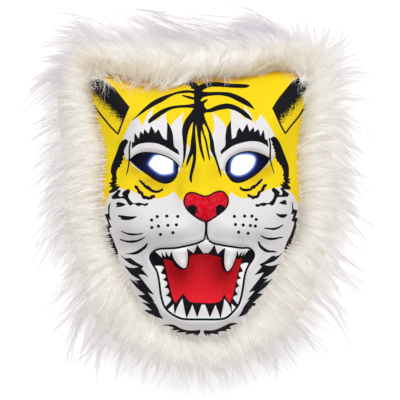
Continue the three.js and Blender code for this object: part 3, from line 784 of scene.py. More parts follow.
def is_inside(outline, x, y):
    """Which points lie inside a closed outline."""
    inside = np.zeros(len(x), bool)
    box = (
        (x > outline[:, 0].min()) & (x < outline[:, 0].max())
        & (y > outline[:, 1].min()) & (y < outline[:, 1].max())
    )
    near = np.nonzero(box)[0]
    px, py = x[near], y[near]
    found = np.zeros(len(near), bool)
    for (ax, ay), (bx, by) in zip(outline, np.roll(outline, -1, axis=0)):
        if ay == by:
            continue
        crosses = (ay > py) != (by > py)
        found ^= crosses & (px < (bx - ax) * (py - ay) / (by - ay) + ax)
    inside[near] = found
    return inside


def distance_to(path, x, y, closed=True):
    """The distance from each point to a path."""
    ends = np.roll(path, -1, axis=0) if closed else path[1:]
    starts = path if closed else path[:-1]
    nearest = np.full(len(x), 1e9)
    for (ax, ay), (bx, by) in zip(starts, ends):
        dx, dy = bx - ax, by - ay
        run = max(dx * dx + dy * dy, 1e-12)
        t = np.clip(((x - ax) * dx + (y - ay) * dy) / run, 0, 1)
        nearest = np.minimum(nearest, np.hypot(x - ax - t * dx, y - ay - t * dy))
    return nearest


# The relief that the felt takes over the moulded forms, in millimetres.
LID = {"height": 2.6, "width": 4.2, "above_eye": 3.6, "fall": 1.6}
FANG = {"rise": 9.5, "flank": 2.2, "crown": 4.5, "fullness": 0.8}
TOOTH = {"rise": 0.9, "round": 1.6}
NOSE_CREASE = {"depth": 1.1, "width": 1.6}
NOSTRIL = {"depth": 2.6, "round": 2.5}
PHILTRUM = {"depth": 1.6, "width": 2.2}
FOLD = {"depth": 0.8, "width": 1.5}
LIP_ROLL = {"rise": 1.3, "width": 2.6, "away": 3.0}


class Relief:
    """The fine forms of the felt face, placed by the print that they carry."""

    def __init__(self):
        self.nostrils = [from_photo(curve_through(n, True)) for n in NOSTRILS]
        self.fangs = [from_photo(curve_through(f, True), FANG["rise"]) for f in FANGS.values()]
        self.lips = from_photo(curve_through(LIP_LINE, True))
        self.dark = from_photo(curve_through(MOUTH_DARK, True))
        self.eyes = [from_photo(curve_through(e, True)) for e in EYES.values()]
        # Each groove's path, whether it is closed, and its form.
        self.grooves = [
            (from_photo(curve_through(NOSE, True)), True, NOSE_CREASE),
            (from_photo([(206.3, 220), (206.2, 238)]), False, PHILTRUM),
            (from_photo([(129.6, 145), (129.3, 158), (127.4, 171)]), False, FOLD),
            (from_photo([(270.3, 145), (270, 157), (272.7, 168)]), False, FOLD),
        ]

    def lids(self, x, y):
        """A soft roll along the upper edge of each eye."""
        rise = np.zeros(len(x))
        for eye in self.eyes:
            side = np.sign(eye[:, 0].mean())
            corner, inner = eye[np.argmax(side * eye[:, 0])], eye[np.argmin(side * eye[:, 0])]
            chord = inner - corner

            def over(px, py):
                return side * (chord[0] * (py - corner[1]) - chord[1] * (px - corner[0])) < 0

            upper = eye[over(*eye.T)]
            away = distance_to(upper[np.argsort(upper[:, 0])], x, y, closed=False)
            roll = np.exp(-(((away - LID["above_eye"]) / LID["width"]) ** 2) * LID["fall"])
            rise += np.where(over(x, y) & ~is_inside(eye, x, y), LID["height"] * roll, 0)
        return rise

    def height(self, x, y):
        rise = self.lids(x, y)
        for fang in self.fangs:
            edge = distance_to(fang, x, y)
            depth = np.where(is_inside(fang, x, y), edge, -edge)
            crown = smoothstep(depth, -FANG["flank"], FANG["crown"])
            rise += FANG["rise"] * crown ** FANG["fullness"]
        for path, closed, form in self.grooves:
            away = distance_to(path, x, y, closed)
            rise -= form["depth"] * np.exp(-((away / form["width"]) ** 2))
        for nostril in self.nostrils:
            sunk = smoothstep(distance_to(nostril, x, y), 0, NOSTRIL["round"])
            rise -= np.where(is_inside(nostril, x, y), NOSTRIL["depth"] * sunk, 0)
        mouth = is_inside(self.lips, x, y)
        tooth = mouth & ~is_inside(self.dark, x, y)
        to_lips = distance_to(self.lips, x, y)
        edge = np.minimum(distance_to(self.dark, x, y), to_lips)
        rise += np.where(tooth, TOOTH["rise"] * smoothstep(edge, 0, TOOTH["round"]), 0)
        roll = np.exp(-(((to_lips - LIP_ROLL["away"]) / LIP_ROLL["width"]) ** 2))
        rise += np.where(mouth, 0, LIP_ROLL["rise"] * roll)
        return rise * smoothstep(1 - outwardness(x, y), 0, 0.05)


# Patches of shade painted into the felt's colour over the face: the middle in pixels of the
# photograph, half the width and height in millimetres, and how deep the shade is.
PAINTED_SHADES = [
    (136, 170, 9, 6, 0.42), (150, 181, 10, 6, 0.48), (163, 186, 8, 5, 0.3),
    (264, 169, 8, 7, 0.38), (253, 177, 9, 6, 0.42),
    (181, 172, 5, 12, 0.2), (180, 190, 5, 9, 0.28), (228, 199, 4, 8, 0.1),
    (140, 241, 16, 9, 0.36), (166, 242, 16, 9, 0.28), (200, 242, 18, 8, 0.3),
    (216, 241, 10, 7, 0.22), (244, 242, 12, 8, 0.22), (262, 239, 12, 8, 0.32),
    (124, 236, 10, 10, 0.2), (148, 250, 8, 9, 0.22), (140, 272, 7, 12, 0.2),
    (125, 89, 14, 7, 0.2), (158, 92, 12, 7, 0.18), (132, 122, 8, 8, 0.18),
    (124, 153, 5, 20, 0.22), (172, 142, 6, 8, 0.12), (268, 168, 6, 8, 0.2),
    (175, 313, 8, 4, 0.28), (223, 313, 8, 4, 0.28),
]


def painted_shade_share(x, y):
    """How much painted shade the felt takes at a place, from 0 to 1."""
    lit = np.ones(len(x))
    for px, py, wide, high, depth in PAINTED_SHADES:
        middle = from_photo([(px, py)])[0]
        away = ((x - middle[0]) / wide) ** 2 + ((y - middle[1]) / high) ** 2
        lit *= 1 - depth * np.exp(-away)
    return 1 - lit


class Field:
    """A socket that takes part in sums: every operation adds a Math node."""

    def __init__(self, look, socket):
        self.look = look
        self.socket = socket

    def math(self, operation, *others):
        inputs = dict(enumerate([self, *others]))
        node = self.look.node("ShaderNodeMath", {"operation": operation}, inputs)
        return Field(self.look, node.outputs[0])

    def __add__(self, other):
        return self.math("ADD", other)

    def __sub__(self, other):
        return self.math("SUBTRACT", other)

    def __rsub__(self, other):
        return self.math("MULTIPLY_ADD", -1.0, other)

    def __mul__(self, other):
        return self.math("MULTIPLY", other)

    def __truediv__(self, other):
        return self.math("DIVIDE", other)

    def __pow__(self, other):
        return self.math("POWER", other)

    __radd__ = __add__
    __rmul__ = __mul__

    def between(self, low, high):
        """0 below low, 1 over high, and smooth between them."""
        node = self.look.node(
            "ShaderNodeMapRange",
            {"interpolation_type": "SMOOTHSTEP"},
            {"Value": self, "From Min": low, "From Max": high},
        )
        return Field(self.look, node.outputs[0])

    def gaussian(self):
        """The bell curve of this value."""
        return (self * self * -1.0).math("EXPONENT")


class Look:
    """A material in the making."""

    def __init__(self, name, **constants):
        self.material = bpy.data.materials.new(name)
        self.material.use_nodes = True
        self.tree = self.material.node_tree
        self.surface = next(n for n in self.tree.nodes if n.type == "BSDF_PRINCIPLED")
        for socket, value in constants.items():
            self.surface.inputs[socket.replace("_", " ")].default_value = value

    def node(self, kind, settings=None, inputs=None):
        made = self.tree.nodes.new(kind)
        for name, value in (settings or {}).items():
            setattr(made, name, value)
        for key, value in (inputs or {}).items():
            self.feed(made.inputs[key], value)
        return made

    def feed(self, socket, value):
        if isinstance(value, Field):
            value = value.socket
        if isinstance(value, bpy.types.NodeSocket):
            self.tree.links.new(value, socket)
        else:
            socket.default_value = value

    def drive(self, socket, value):
        """Feeds one of the surface's own sockets."""
        self.feed(self.surface.inputs[socket], value)

    def place(self):
        return self.node("ShaderNodeTexCoord").outputs["Object"]

    def axes(self):
        """The place on the mask in metres, as three fields."""
        split = self.node("ShaderNodeSeparateXYZ", inputs={"Vector": self.place()})
        return [Field(self, split.outputs[i]) for i in range(3)]

    def noise(self, size, detail=2.0, stretch=(1, 1, 1)):
        """Noise whose patches are about size across, in metres, from 0 to 1."""
        scaled = self.node(
            "ShaderNodeVectorMath", {"operation": "MULTIPLY"}, {0: self.place(), 1: stretch}
        )
        made = self.node(
            "ShaderNodeTexNoise",
            inputs={"Vector": scaled.outputs[0], "Scale": 1 / size, "Detail": detail},
        )
        return Field(self, made.outputs["Fac"])

    def value_of(self, attribute):
        made = self.node("ShaderNodeAttribute", {"attribute_name": attribute})
        return Field(self, made.outputs["Fac"])

    def mix(self, factor, first, second):
        """The first colour where factor is 0 and the second where it is 1."""
        inputs = {0: factor, 6: first, 7: second}
        return self.node("ShaderNodeMix", {"data_type": "RGBA"}, inputs).outputs[2]

    def bump(self, height, distance):
        made = self.node("ShaderNodeBump", inputs={"Height": height, "Distance": distance})
        self.drive("Normal", made.outputs["Normal"])


def linear(red, green, blue):
    """A colour of 0 to 255 a channel, as it shows, as the linear colour of a shader."""
    def channel(value):
        v = value / 255
        return v / 12.92 if v <= 0.04045 else ((v + 0.055) / 1.055) ** 2.4
    return (channel(red), channel(green), channel(blue))


def opaque(colour):
    return (*colour[:3], 1.0)


BLACK = (0.0, 0.0, 0.0)

# The size of the felt's fibres and of its faint mottling, in metres.
FIBRE = 0.0007
MOTTLE = 0.016

# The felt's painted shade colours: the fur's shadow where the felt runs in under the fur, and
# the shade in its own hollows.
FUR_SHADOW_COLOURS = {"yellow": linear(204, 154, 14), "white": linear(186, 176, 164)}
PAINTED_SHADE_COLOURS = {"yellow": linear(172, 122, 6), "white": linear(122, 114, 114)}
BLACK_SHADE = linear(25, 24, 34)
NOSE_PALE = linear(240, 96, 104)
NOSE_DEEP = linear(170, 4, 26)
MOUTH_STREAK = linear(250, 84, 84)
LOW_TEETH = linear(238, 248, 248)
FOAM = linear(226, 222, 214)
FOAM_PORES = linear(196, 190, 180)
# The shade painted at the hide's lip, beside the top of the face.
LIP_SHADE_OF_FUR = linear(212, 186, 132)
SCREEN_GRAIN = linear(30, 31, 52)
FROST = (0.9, 0.9, 0.92, 1.0)
FROST_SHADE = (0.8, 0.82, 0.9, 1.0)


def felt(name, colour, shade, roughness=0.52, fur_shadow_colour=None, hollow=None):
    """Printed felt: fine fibres, a faint mottling, painted shade patches, and the fur's shadow
    painted on it beside the fur.
    """
    look = Look(name, Specular_IOR_Level=0.12)
    mottled = look.noise(MOTTLE, 3.0).between(0.35, 0.75)
    fibres = look.noise(FIBRE, 3.0)
    soft = mottled * 0.35 + fibres.between(0.3, 0.7) * 0.12
    base = look.mix(soft, opaque(colour), opaque(shade))
    # Painted shade, patch by patch over the face.
    if hollow:
        base = look.mix(look.value_of("hollow"), base, opaque(hollow))
    # The fur's shadow, painted on the felt beside the fur.
    if fur_shadow_colour:
        base = look.mix(look.value_of("fur_shadow"), base, opaque(fur_shadow_colour))
    look.drive("Base Color", base)
    look.drive("Roughness", fibres * 0.2 + roughness)
    look.bump(fibres, 0.00012)
    return look


def red_felt(name, colour, pale, dark):
    """The nose's red felt, mottled with pale fibres."""
    look = Look(name, Specular_IOR_Level=0.04)
    patches = look.noise(0.004, 4.0).between(0.42, 0.78)
    deep = look.noise(0.009, 2.0).between(0.5, 0.8)
    base = look.mix(deep * 0.7, opaque(colour), opaque(dark))
    look.drive("Base Color", look.mix(patches * 0.35, base, opaque(pale)))
    look.drive("Roughness", look.noise(FIBRE, 2.0) * 0.2 + 0.6)
    look.bump(look.noise(0.0012, 3.0), 0.0003)
    return look


def mouth_felt(name, colour, dark):
    """The mouth's red, with shade painted in: darkest beside the fangs and darker towards the
    upper lip.
    """
    look = Look(name, Specular_IOR_Level=0.02)
    x, y, _ = look.axes()
    # Painted shade: a dark spot beside each fang, and darkening towards the upper lip.
    beside = ((x.math("ABSOLUTE") - 0.022) / 0.016).gaussian()
    deep = beside * ((y + 0.072) / 0.017).gaussian()
    upper = (y + 0.075).between(-0.02, 0.03) * 0.45
    shade = (deep * 0.7 + upper).math("MINIMUM", 1.0)
    streaks = look.noise(0.0012, 3.0, (1.0, 0.6, 1.0)).between(0.35, 0.75)
    base = look.mix(shade, opaque(colour), opaque(dark))
    look.drive("Base Color", look.mix(streaks * 0.16, base, opaque(MOUTH_STREAK)))
    look.drive("Roughness", look.noise(FIBRE, 2.0) * 0.2 + 0.5)
    look.bump(look.noise(0.0014, 3.0), 0.0001)
    return look


def tooth_felt(name, colour):
    """The teeth's smooth white felt: a painted glow makes the fangs stand out bright over the
    low teeth.
    """
    look = Look(name, Specular_IOR_Level=0.12, Emission_Strength=0.16)
    x, y, _ = look.axes()
    low = (y + 0.088).between(0.012, -0.012)
    fang = (1 - low) * x.math("ABSOLUTE").between(0.008, 0.018)
    look.drive("Base Color", look.mix(low, opaque(colour), opaque(LOW_TEETH)))
    # A painted glow on the fangs alone; the low teeth get none.
    look.drive("Emission Color", look.mix(fang, (0, 0, 0, 1), (1, 1, 1, 1)))
    fibres = look.noise(FIBRE, 3.0)
    look.drive("Roughness", fibres * 0.2 + 0.4)
    look.bump(fibres, 0.00012)
    return look


def ear_felt(name, yellow, black):
    """The ear's airbrushed black, which breaks into specks as it fades to yellow."""
    look = Look(name, Specular_IOR_Level=0.15)
    below = look.value_of("ear_fade")
    specks = look.noise(0.0009, 1.0)
    coarse = look.noise(0.004, 2.0)
    worn = below / 9.0 + (specks - 0.5) * 2.4 + (coarse - 0.5) * 0.6
    look.drive("Base Color", look.mix(worn.between(0.22, 0.5), opaque(black), opaque(yellow)))
    look.drive("Roughness", specks * 0.15 + 0.55)
    look.bump(look.noise(FIBRE, 2.0), 0.00012)
    return look


def lining(name, colour, shade):
    """The bare back of the foam, with its pores."""
    look = Look(name, Roughness=0.95)
    pores = look.noise(0.0025, 4.0)
    look.drive("Base Color", look.mix(pores.between(0.4, 0.7), opaque(colour), opaque(shade)))
    look.bump(pores, 0.0006)
    return look


def fur_look(name, fur):
    """Long pile: ivory beside the face and cool outside, each with darker hairs in it, with
    painted shade towards the roots and in tan patches, and a painted glow.
    """
    look = Look(name, Roughness=0.85, Specular_IOR_Level=0.2, Emission_Strength=fur.painted_glow)
    out = look.value_of("outward").between(0.25, 0.75)
    light = look.mix(out, opaque(fur.ivory), opaque(fur.tip))
    dark = look.mix(out, opaque(fur.tan), opaque(fur.grey))
    # Painted shade, darker towards the roots of the hairs.
    root_shade = look.value_of("along").between(0.5, 0.0) * 0.12
    tone = look.value_of("tone") ** 1.5 * 0.9
    strand = look.mix((tone + root_shade).math("MINIMUM", 1.0), light, dark)
    # Tan shade painted into the hair in patches, most beside the parting.
    tan_shade = look.value_of("tan_shade") * (look.value_of("tone") * 0.5 + 0.5)
    strand = look.mix(tan_shade, strand, opaque(fur.tan_shade))
    far = look.value_of("outward").between(0.55, 1.0) * 0.55
    strand = look.mix(far, strand, opaque(fur.wisp))
    look.drive("Base Color", strand)
    # The painted glow takes the hair's colour and fades towards the outer hair.
    look.drive("Emission Color", look.mix(out * 0.35, strand, opaque(BLACK)))
    return look


def pelt_look(name, root, shade, painted_glow):
    """The dense underfur, streaked from the face outwards, with shade painted at its lip over
    the face and a painted glow.
    """
    look = Look(name, Roughness=0.9, Specular_IOR_Level=0.2, Emission_Strength=painted_glow)
    streaks = look.noise(0.0035, 4.0)
    colour = look.mix(streaks.between(0.3, 0.8), opaque(root), opaque(shade))
    # Painted shade at the hide's lip.
    colour = look.mix(look.value_of("lip") * 0.7, colour, opaque(LIP_SHADE_OF_FUR))
    look.drive("Base Color", colour)
    # The underfur's painted glow takes its colour.
    look.drive("Emission Color", colour)
    look.bump(look.noise(0.0016, 3.0), 0.0012)
    return look


def make_piece(name, points, faces, looks, paints=None, attributes=None):
    """A smooth mesh from points in millimetres and triangles, riding on the mask."""
    mesh = bpy.data.meshes.new(name)
    points = np.asarray(points, np.float32) * np.float32(MM)
    faces = np.asarray(faces, np.int32)
    mesh.vertices.add(len(points))
    mesh.vertices.foreach_set("co", points.ravel())
    mesh.loops.add(faces.size)
    mesh.loops.foreach_set("vertex_index", faces.ravel())
    mesh.polygons.add(len(faces))
    mesh.polygons.foreach_set("loop_start", np.arange(0, faces.size, 3, dtype=np.int32))
    if paints is not None:
        mesh.polygons.foreach_set("material_index", np.asarray(paints, np.int32))
    mesh.update(calc_edges=True)
    mesh.validate()
    mesh.shade_smooth()
    for key, values in (attributes or {}).items():
        made = mesh.attributes.new(key, "FLOAT", "POINT")
        made.data.foreach_set("value", np.asarray(values, np.float32))
    for look in looks:
        mesh.materials.append(look.material)
    piece = bpy.data.objects.new(name, mesh)
    bpy.context.scene.collection.objects.link(piece)
    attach(piece, "root")
    return piece


def rim_point(angle, past, height):
    """Points at a distance past the rim, as rows of x, y and z."""
    radius = around(RIM, angle) + past
    flat = [radius * np.cos(angle), radius * np.sin(angle)]
    return np.stack([*flat, np.broadcast_to(height, np.shape(angle))], axis=-1)


def back_of(x, y):
    """Where the inside of the wall lies behind each point of the face."""
    out = outwardness(x, y)
    step = 0.25
    slope_x = (face_height(x + step, y) - face_height(x - step, y)) / (2 * step)
    slope_y = (face_height(x, y + step) - face_height(x, y - step)) / (2 * step)
    steep = np.sqrt(1 + slope_x**2 + slope_y**2)
    thick = WALL * np.clip(steep, 1, 2.2) * (1 - smoothstep(out, 0.9, 1.0))
    shrink = 1 - WALL / around(RIM, np.arctan2(y, x)) * smoothstep(out, 0.5, 1.0)
    height = face_height(x, y, BACK_SWELLING, BACK_HOLLOW) - thick
    return np.stack([x * shrink, y * shrink, height], axis=1)


def triangles_over(points, loops, kind):
    """Triangles in plan that keep the edges of closed loops, the first of the points.

    Returns their corners, the triangles turned upwards, and twice the area of each.
    """
    edges = []
    start = 0
    for loop in loops:
        index = start + np.arange(len(loop))
        edges += list(zip(index.tolist(), np.roll(index, -1).tolist()))
        start += len(loop)
    verts, _, faces, *_ = geometry.delaunay_2d_cdt(
        [Vector(p) for p in points], edges, [], kind, 1e-3, False
    )
    verts = np.array([(v.x, v.y) for v in verts])
    faces = np.array([f for f in faces if len(f) == 3])
    (ax, ay), (bx, by), (cx, cy) = (verts[faces[:, k]].T for k in range(3))
    turned = (bx - ax) * (cy - ay) - (by - ay) * (cx - ax)
    faces[turned < 0] = faces[turned < 0][:, ::-1]
    return verts, faces, np.abs(turned)


# The rings of points inside the rim, in shares of its radius, and where the grid begins.
RIM_RINGS = (0.994, 0.983, 0.965, 0.94)
GRID_EDGE = 0.925
GRID_CLEAR = 0.45


def plan_of_print(outlines, holes, pitch):
    """Triangles in plan that follow every outline, and the points on the rim."""
    rim = rim_point(np.linspace(0, 2 * np.pi, 721)[:-1], 0, 0)[:, :2]
    drawn = np.vstack([*outlines, *holes])
    columns = np.arange(-180, 180, pitch)
    x, y = np.meshgrid(columns, columns * 0.9)
    x = x + pitch / 2 * (np.arange(len(columns)) % 2)[:, None]
    grid = np.stack([x.ravel(), y.ravel()], axis=1)
    grid = grid[outwardness(*grid.T) < GRID_EDGE]
    tree = kdtree.KDTree(len(drawn))
    for i, (px, py) in enumerate(drawn):
        tree.insert((px, py, 0), i)
    tree.balance()
    far = [tree.find((px, py, 0))[2] > GRID_CLEAR * pitch for px, py in grid]
    points = np.vstack([rim, drawn, grid[np.array(far)], *[rim * share for share in RIM_RINGS]])
    verts, faces, size = triangles_over(points, [rim, *outlines, *holes], 0)
    middle = verts[faces].mean(axis=1)
    kept = is_inside(rim, *middle.T) & (size > 1e-7)
    for hole in holes:
        kept &= ~is_inside(hole, *middle.T)
    faces = faces[kept]
    used = np.unique(faces)
    renumber = np.full(len(verts), -1)
    renumber[used] = np.arange(len(used))
    return verts[used], renumber[faces]


def open_edges(faces):
    """The edges of only one triangle, each in that triangle's direction."""
    edges = np.vstack([faces[:, [0, 1]], faces[:, [1, 2]], faces[:, [2, 0]]])
    size = edges.max() + 1
    key = edges.min(1) * size + edges.max(1)
    _, first, count = np.unique(key, return_index=True, return_counts=True)
    return edges[first[count == 1]]


def bridge(edges, low, high):
    """Two triangles for each edge, from one copy of its points to another."""
    a, b = edges.T
    return np.vstack([
        np.stack([high[b], high[a], low[a]], axis=1),
        np.stack([high[b], low[a], low[b]], axis=1),
    ])


PAINTS = ["yellow", "white", "black", "nose red", "mouth red", "tooth", "ear", "lining"]


def ear_fades(points):
    """How far each point lies below the line across its ear, in millimetres."""
    fade = np.zeros(len(points))
    for side, ends in EAR_FADES.items():
        start, end = from_photo(ends)
        along = (end - start) / np.hypot(*(end - start))
        below = along[0] * (points[:, 1] - start[1]) - along[1] * (points[:, 0] - start[0])
        sign = 1 if side == "left" else -1
        fade = np.where(sign * points[:, 0] > 0, sign * below, fade)
    return fade


# The fur's shadow painted on the felt beside it: its least share, what the brow and the top of
# the face add to it, how much of it the fur hides at the sides and at the top, and its width.
FUR_SHADE = {"least": 0.12, "brow": 0.33, "top": 0.55, "hidden": (2.5, 2.0), "width": 2.0}


def painted_fur_shadow(points):
    """How much of the fur's painted shadow the felt takes where it runs in under the fur."""
    turn, past = polar(points)
    top = smoothstep(points[:, 1], 60, 105)
    brow = smoothstep(points[:, 1], -40, 20)
    share = FUR_SHADE["least"] + FUR_SHADE["brow"] * brow + FUR_SHADE["top"] * top
    side, over = FUR_SHADE["hidden"]
    seen = np.clip(Pelt().edge(turn) - past - side - over * top, 0, None)
    return share * np.exp(-seen / (FUR_SHADE["width"] + top))


def make_face(face):
    """The felt face: printed front, foam back, eye openings and the brim round its foot."""
    relief = Relief()
    outlines = [outline_of(mark) for mark in PRINT]
    holes = [moved_in(eye, face.eye_rim / MM) for eye in relief.eyes]
    plan, front = plan_of_print(outlines, holes, face.pitch / MM)
    x, y = plan.T
    top = np.stack([x, y, face_height(x, y) + relief.height(x, y)], axis=1)
    back = back_of(x, y)
    middle = plan[front].mean(axis=1)
    paints = np.zeros(len(front), int)
    for mark, outline in zip(PRINT, outlines):
        paints[is_inside(outline, *middle.T)] = PAINTS.index(mark["paint"])
    count = len(plan)
    edges = open_edges(front)
    on_rim = outwardness(x, y) > 0.9999
    rim_edges = edges[on_rim[edges].all(axis=1)]
    eye_edges = edges[~on_rim[edges].all(axis=1)]
    rim_index = np.nonzero(on_rim)[0]
    angle = np.arctan2(y[rim_index], x[rim_index])
    brim = [
        rim_point(angle, 0, WALL),
        rim_point(angle, FLANGE_WIDTH, WALL),
        rim_point(angle, FLANGE_WIDTH, 0),
        rim_point(angle, -WALL, 0),
    ]
    points = np.vstack([top, back, *brim])
    copies = [np.arange(count)]
    for ring in range(len(brim)):
        index = np.zeros(count, int)
        index[rim_index] = 2 * count + ring * len(rim_index) + np.arange(len(rim_index))
        copies.append(index)
    copies.append(count + np.arange(count))
    walls = [bridge(rim_edges, low, high) for high, low in zip(copies, copies[1:])]
    walls.append(bridge(eye_edges, copies[-1], copies[0]))
    wall = np.vstack(walls)
    faces = np.vstack([front, front[:, ::-1] + count, wall])
    lined = np.full(len(front) + len(wall), PAINTS.index("lining"))
    lined[-2 * len(eye_edges):] = PAINTS.index("black")
    looks = [
        felt(
            "felt_yellow", face.yellow, face.ochre,
            fur_shadow_colour=FUR_SHADOW_COLOURS["yellow"], hollow=PAINTED_SHADE_COLOURS["yellow"],
        ),
        felt(
            "felt_white", face.white, face.white_shade,
            fur_shadow_colour=FUR_SHADOW_COLOURS["white"], hollow=PAINTED_SHADE_COLOURS["white"],
        ),
        felt("felt_black", face.black, BLACK_SHADE, 0.6),
        red_felt("nose_red", face.red, NOSE_PALE, NOSE_DEEP),
        mouth_felt("mouth_red", face.mouth, face.mouth_shade),
        tooth_felt("tooth_white", face.tooth),
        ear_felt("ear_fade", face.yellow, face.black),
        lining("foam_back", FOAM, FOAM_PORES),
    ]
    # The fur's painted shadow and the painted shade patches go on the points as attributes.
    values = {
        "ear_fade": ear_fades(points), "fur_shadow": painted_fur_shadow(points),
        "hollow": painted_shade_share(*points.T[:2]),
    }
    piece = make_piece(
        "tiger_face", points, faces, looks, np.concatenate([paints, lined]), values
    )
    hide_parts("face_shell")


def sheet_in_outline(outline, pitch):
    """Triangles over a plan outline with points spread evenly inside it."""
    sides = [np.arange(*ends, pitch) for ends in zip(outline.min(axis=0), outline.max(axis=0))]
    x, y = [side.ravel() for side in np.meshgrid(*sides)]
    inside = is_inside(outline, x, y) & (distance_to(outline, x, y) > 0.4 * pitch)
    points = np.vstack([outline, np.stack([x[inside], y[inside]], axis=1)])
    return triangles_over(points, [outline], 1)[:2]


def slab(outline, pitch, top, bottom):
    """A closed solid over a plan outline between two heights, given as functions."""
    plan, faces = sheet_in_outline(outline, pitch)
    x, y = plan.T
    count = len(plan)
    points = np.vstack([
        np.stack([x, y, top(x, y)], axis=1),
        np.stack([x, y, bottom(x, y)], axis=1),
    ])
    edges = open_edges(faces)
    sides = bridge(edges, count + np.arange(count), np.arange(count))
    return points, np.vstack([faces, faces[:, ::-1] + count, sides])


SCREEN_THICK = 2.0
SCREEN_OVERLAP = 3.0
SCREEN_GAP = 0.5
LIGHT_PROUD = 0.9
LIGHT_DEEP = 6.0
LIGHT_INSET = 0.5
LIGHT_ROUND = 2.0
LIGHT_LIFT = 0.15

# How far a light's glow reaches over the screen, and how strong the last of it is.
BRIGHT_REACH = 1.2
HALO_REACH = 2.3
DIM_REACH = 7.0
DIM_GLOW = 0.06


def screen_height(x, y):
    """The front of the dark screens behind the eye openings."""
    return back_of(x, y)[:, 2] - SCREEN_GAP


def light_outline(side):
    """The outline of a light in plan, on the screen's level."""
    drawn = curve_through(LIGHTS[side], True)
    return moved_in(from_photo(drawn, -WALL - SCREEN_GAP + LIGHT_PROUD), LIGHT_INSET)


def screen_look(name, eyes):
    """A dark screen that glows blue round the light behind it."""
    look = Look(name, Roughness=0.7, Specular_IOR_Level=0.03, Emission_Strength=1.0)
    away = look.value_of("from_light")
    grain = look.noise(0.001, 2.0)
    look.drive("Base Color", look.mix(grain * 0.4, opaque(eyes.screen), opaque(SCREEN_GRAIN)))
    wide = (away / HALO_REACH).gaussian() * eyes.painted_glow + (away / DIM_REACH).gaussian() * DIM_GLOW
    halo = look.mix(wide, opaque(BLACK), opaque(eyes.halo))
    near = (away / BRIGHT_REACH).gaussian()
    look.drive("Emission Color", look.mix(near, halo, opaque(eyes.rim_light)))
    look.bump(grain, 0.00005)
    return look


def make_screens(eyes):
    """The dark screen behind each eye opening."""
    for side, outline in EYES.items():
        eye = from_photo(curve_through(outline, True))
        wide = moved_in(eye, -SCREEN_OVERLAP)
        points, faces = slab(
            wide, eyes.pitch / MM, screen_height,
            lambda x, y: screen_height(x, y) - SCREEN_THICK,
        )
        light = light_outline(side)
        away = distance_to(light, points[:, 0], points[:, 1])
        away[is_inside(light, points[:, 0], points[:, 1])] = 0
        look = screen_look(f"screen_{side}", eyes)
        piece = make_piece(
            f"eye_window_{side}", points, faces, [look],
            attributes={"from_light": away},
        )
        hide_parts(f"eye_screen_{side}")


def make_lights(eyes):
    """The lit window in each eye: a low lens of frosted white."""
    for side in LIGHTS:
        outline = light_outline(side)

        def top(x, y):
            edge = distance_to(outline, x, y)
            proud = LIGHT_PROUD * smoothstep(edge, 0, LIGHT_ROUND)
            return screen_height(x, y) + proud + LIGHT_LIFT

        points, faces = slab(
            outline, eyes.lamp_pitch / MM, top, lambda x, y: screen_height(x, y) - LIGHT_DEEP
        )
        look = Look(f"light_{side}", Roughness=0.3, Emission_Strength=eyes.strength)
        frost = look.noise(0.002, 2.0)
        look.drive("Base Color", look.mix(frost, FROST, FROST_SHADE))
        bright = look.value_of("from_rim").between(-0.2, 1.3)
        look.drive(
            "Emission Color",
            look.mix(bright, opaque(eyes.rim_light), opaque(eyes.light)),
        )
        piece = make_piece(
            f"eye_lamp_{side}", points, faces, [look],
            attributes={"from_rim": distance_to(outline, points[:, 0], points[:, 1])},
        )
        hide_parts(f"eye_light_{side}")


# The visible edge of the face, where the fur begins, in pixels of the photograph.
FACE_EDGE = [
    (205, 340), (183, 338), (163, 329), (147, 316), (135, 302), (124, 282), (114, 258),
    (105.5, 236), (102, 215), (101, 200), (101.5, 175), (103, 150), (97, 130), (91.5, 105),
    (90, 84), (93, 76), (100, 73), (115, 76), (140, 83), (165, 83), (190, 79), (230, 76),
    (270, 69), (290, 69), (303, 74), (307, 84), (307.5, 105), (304, 130), (301, 150),
    (302, 175), (303, 200), (302, 216), (297.5, 238), (288, 253), (281, 267), (274, 283),
    (265, 297.5), (252.5, 313), (239, 327.5), (223, 338),
]
EDGE_LIFT = 10.0

# The fur's section from the face's edge outwards. Each row gives how far past the edge it
# lies, in millimetres and in shares of the way to the tips, the height of the hide, and
# the height of the fur's outer surface.
FUR_SECTION = [
    (0.0, 0.0, 18.0, 29.0),
    (6.0, 0.0, 21.0, 36.0),
    (14.0, 0.0, 28.0, 41.0),
    (10.0, 0.20, 30.0, 41.0),
    (8.0, 0.36, 26.0, 38.0),
    (8.0, 0.50, 15.0, 33.0),
    (8.0, 0.62, 5.0, 28.0),
    (8.0, 0.80, 1.0, 20.0),
    (8.0, 1.00, 1.0, 14.0),
    (8.0, 1.30, 1.0, 10.0),
]

# Where the hair parts, past the fur's edge, by the angle round the mask: inside it the
# forelocks hang down over the face, and outside it all the hair lies outwards.
PARTING = [
    (40, 0), (50, 8), (60, 18), (75, 24), (90, 25), (105, 26), (120, 22), (131, 9), (140, 0),
]

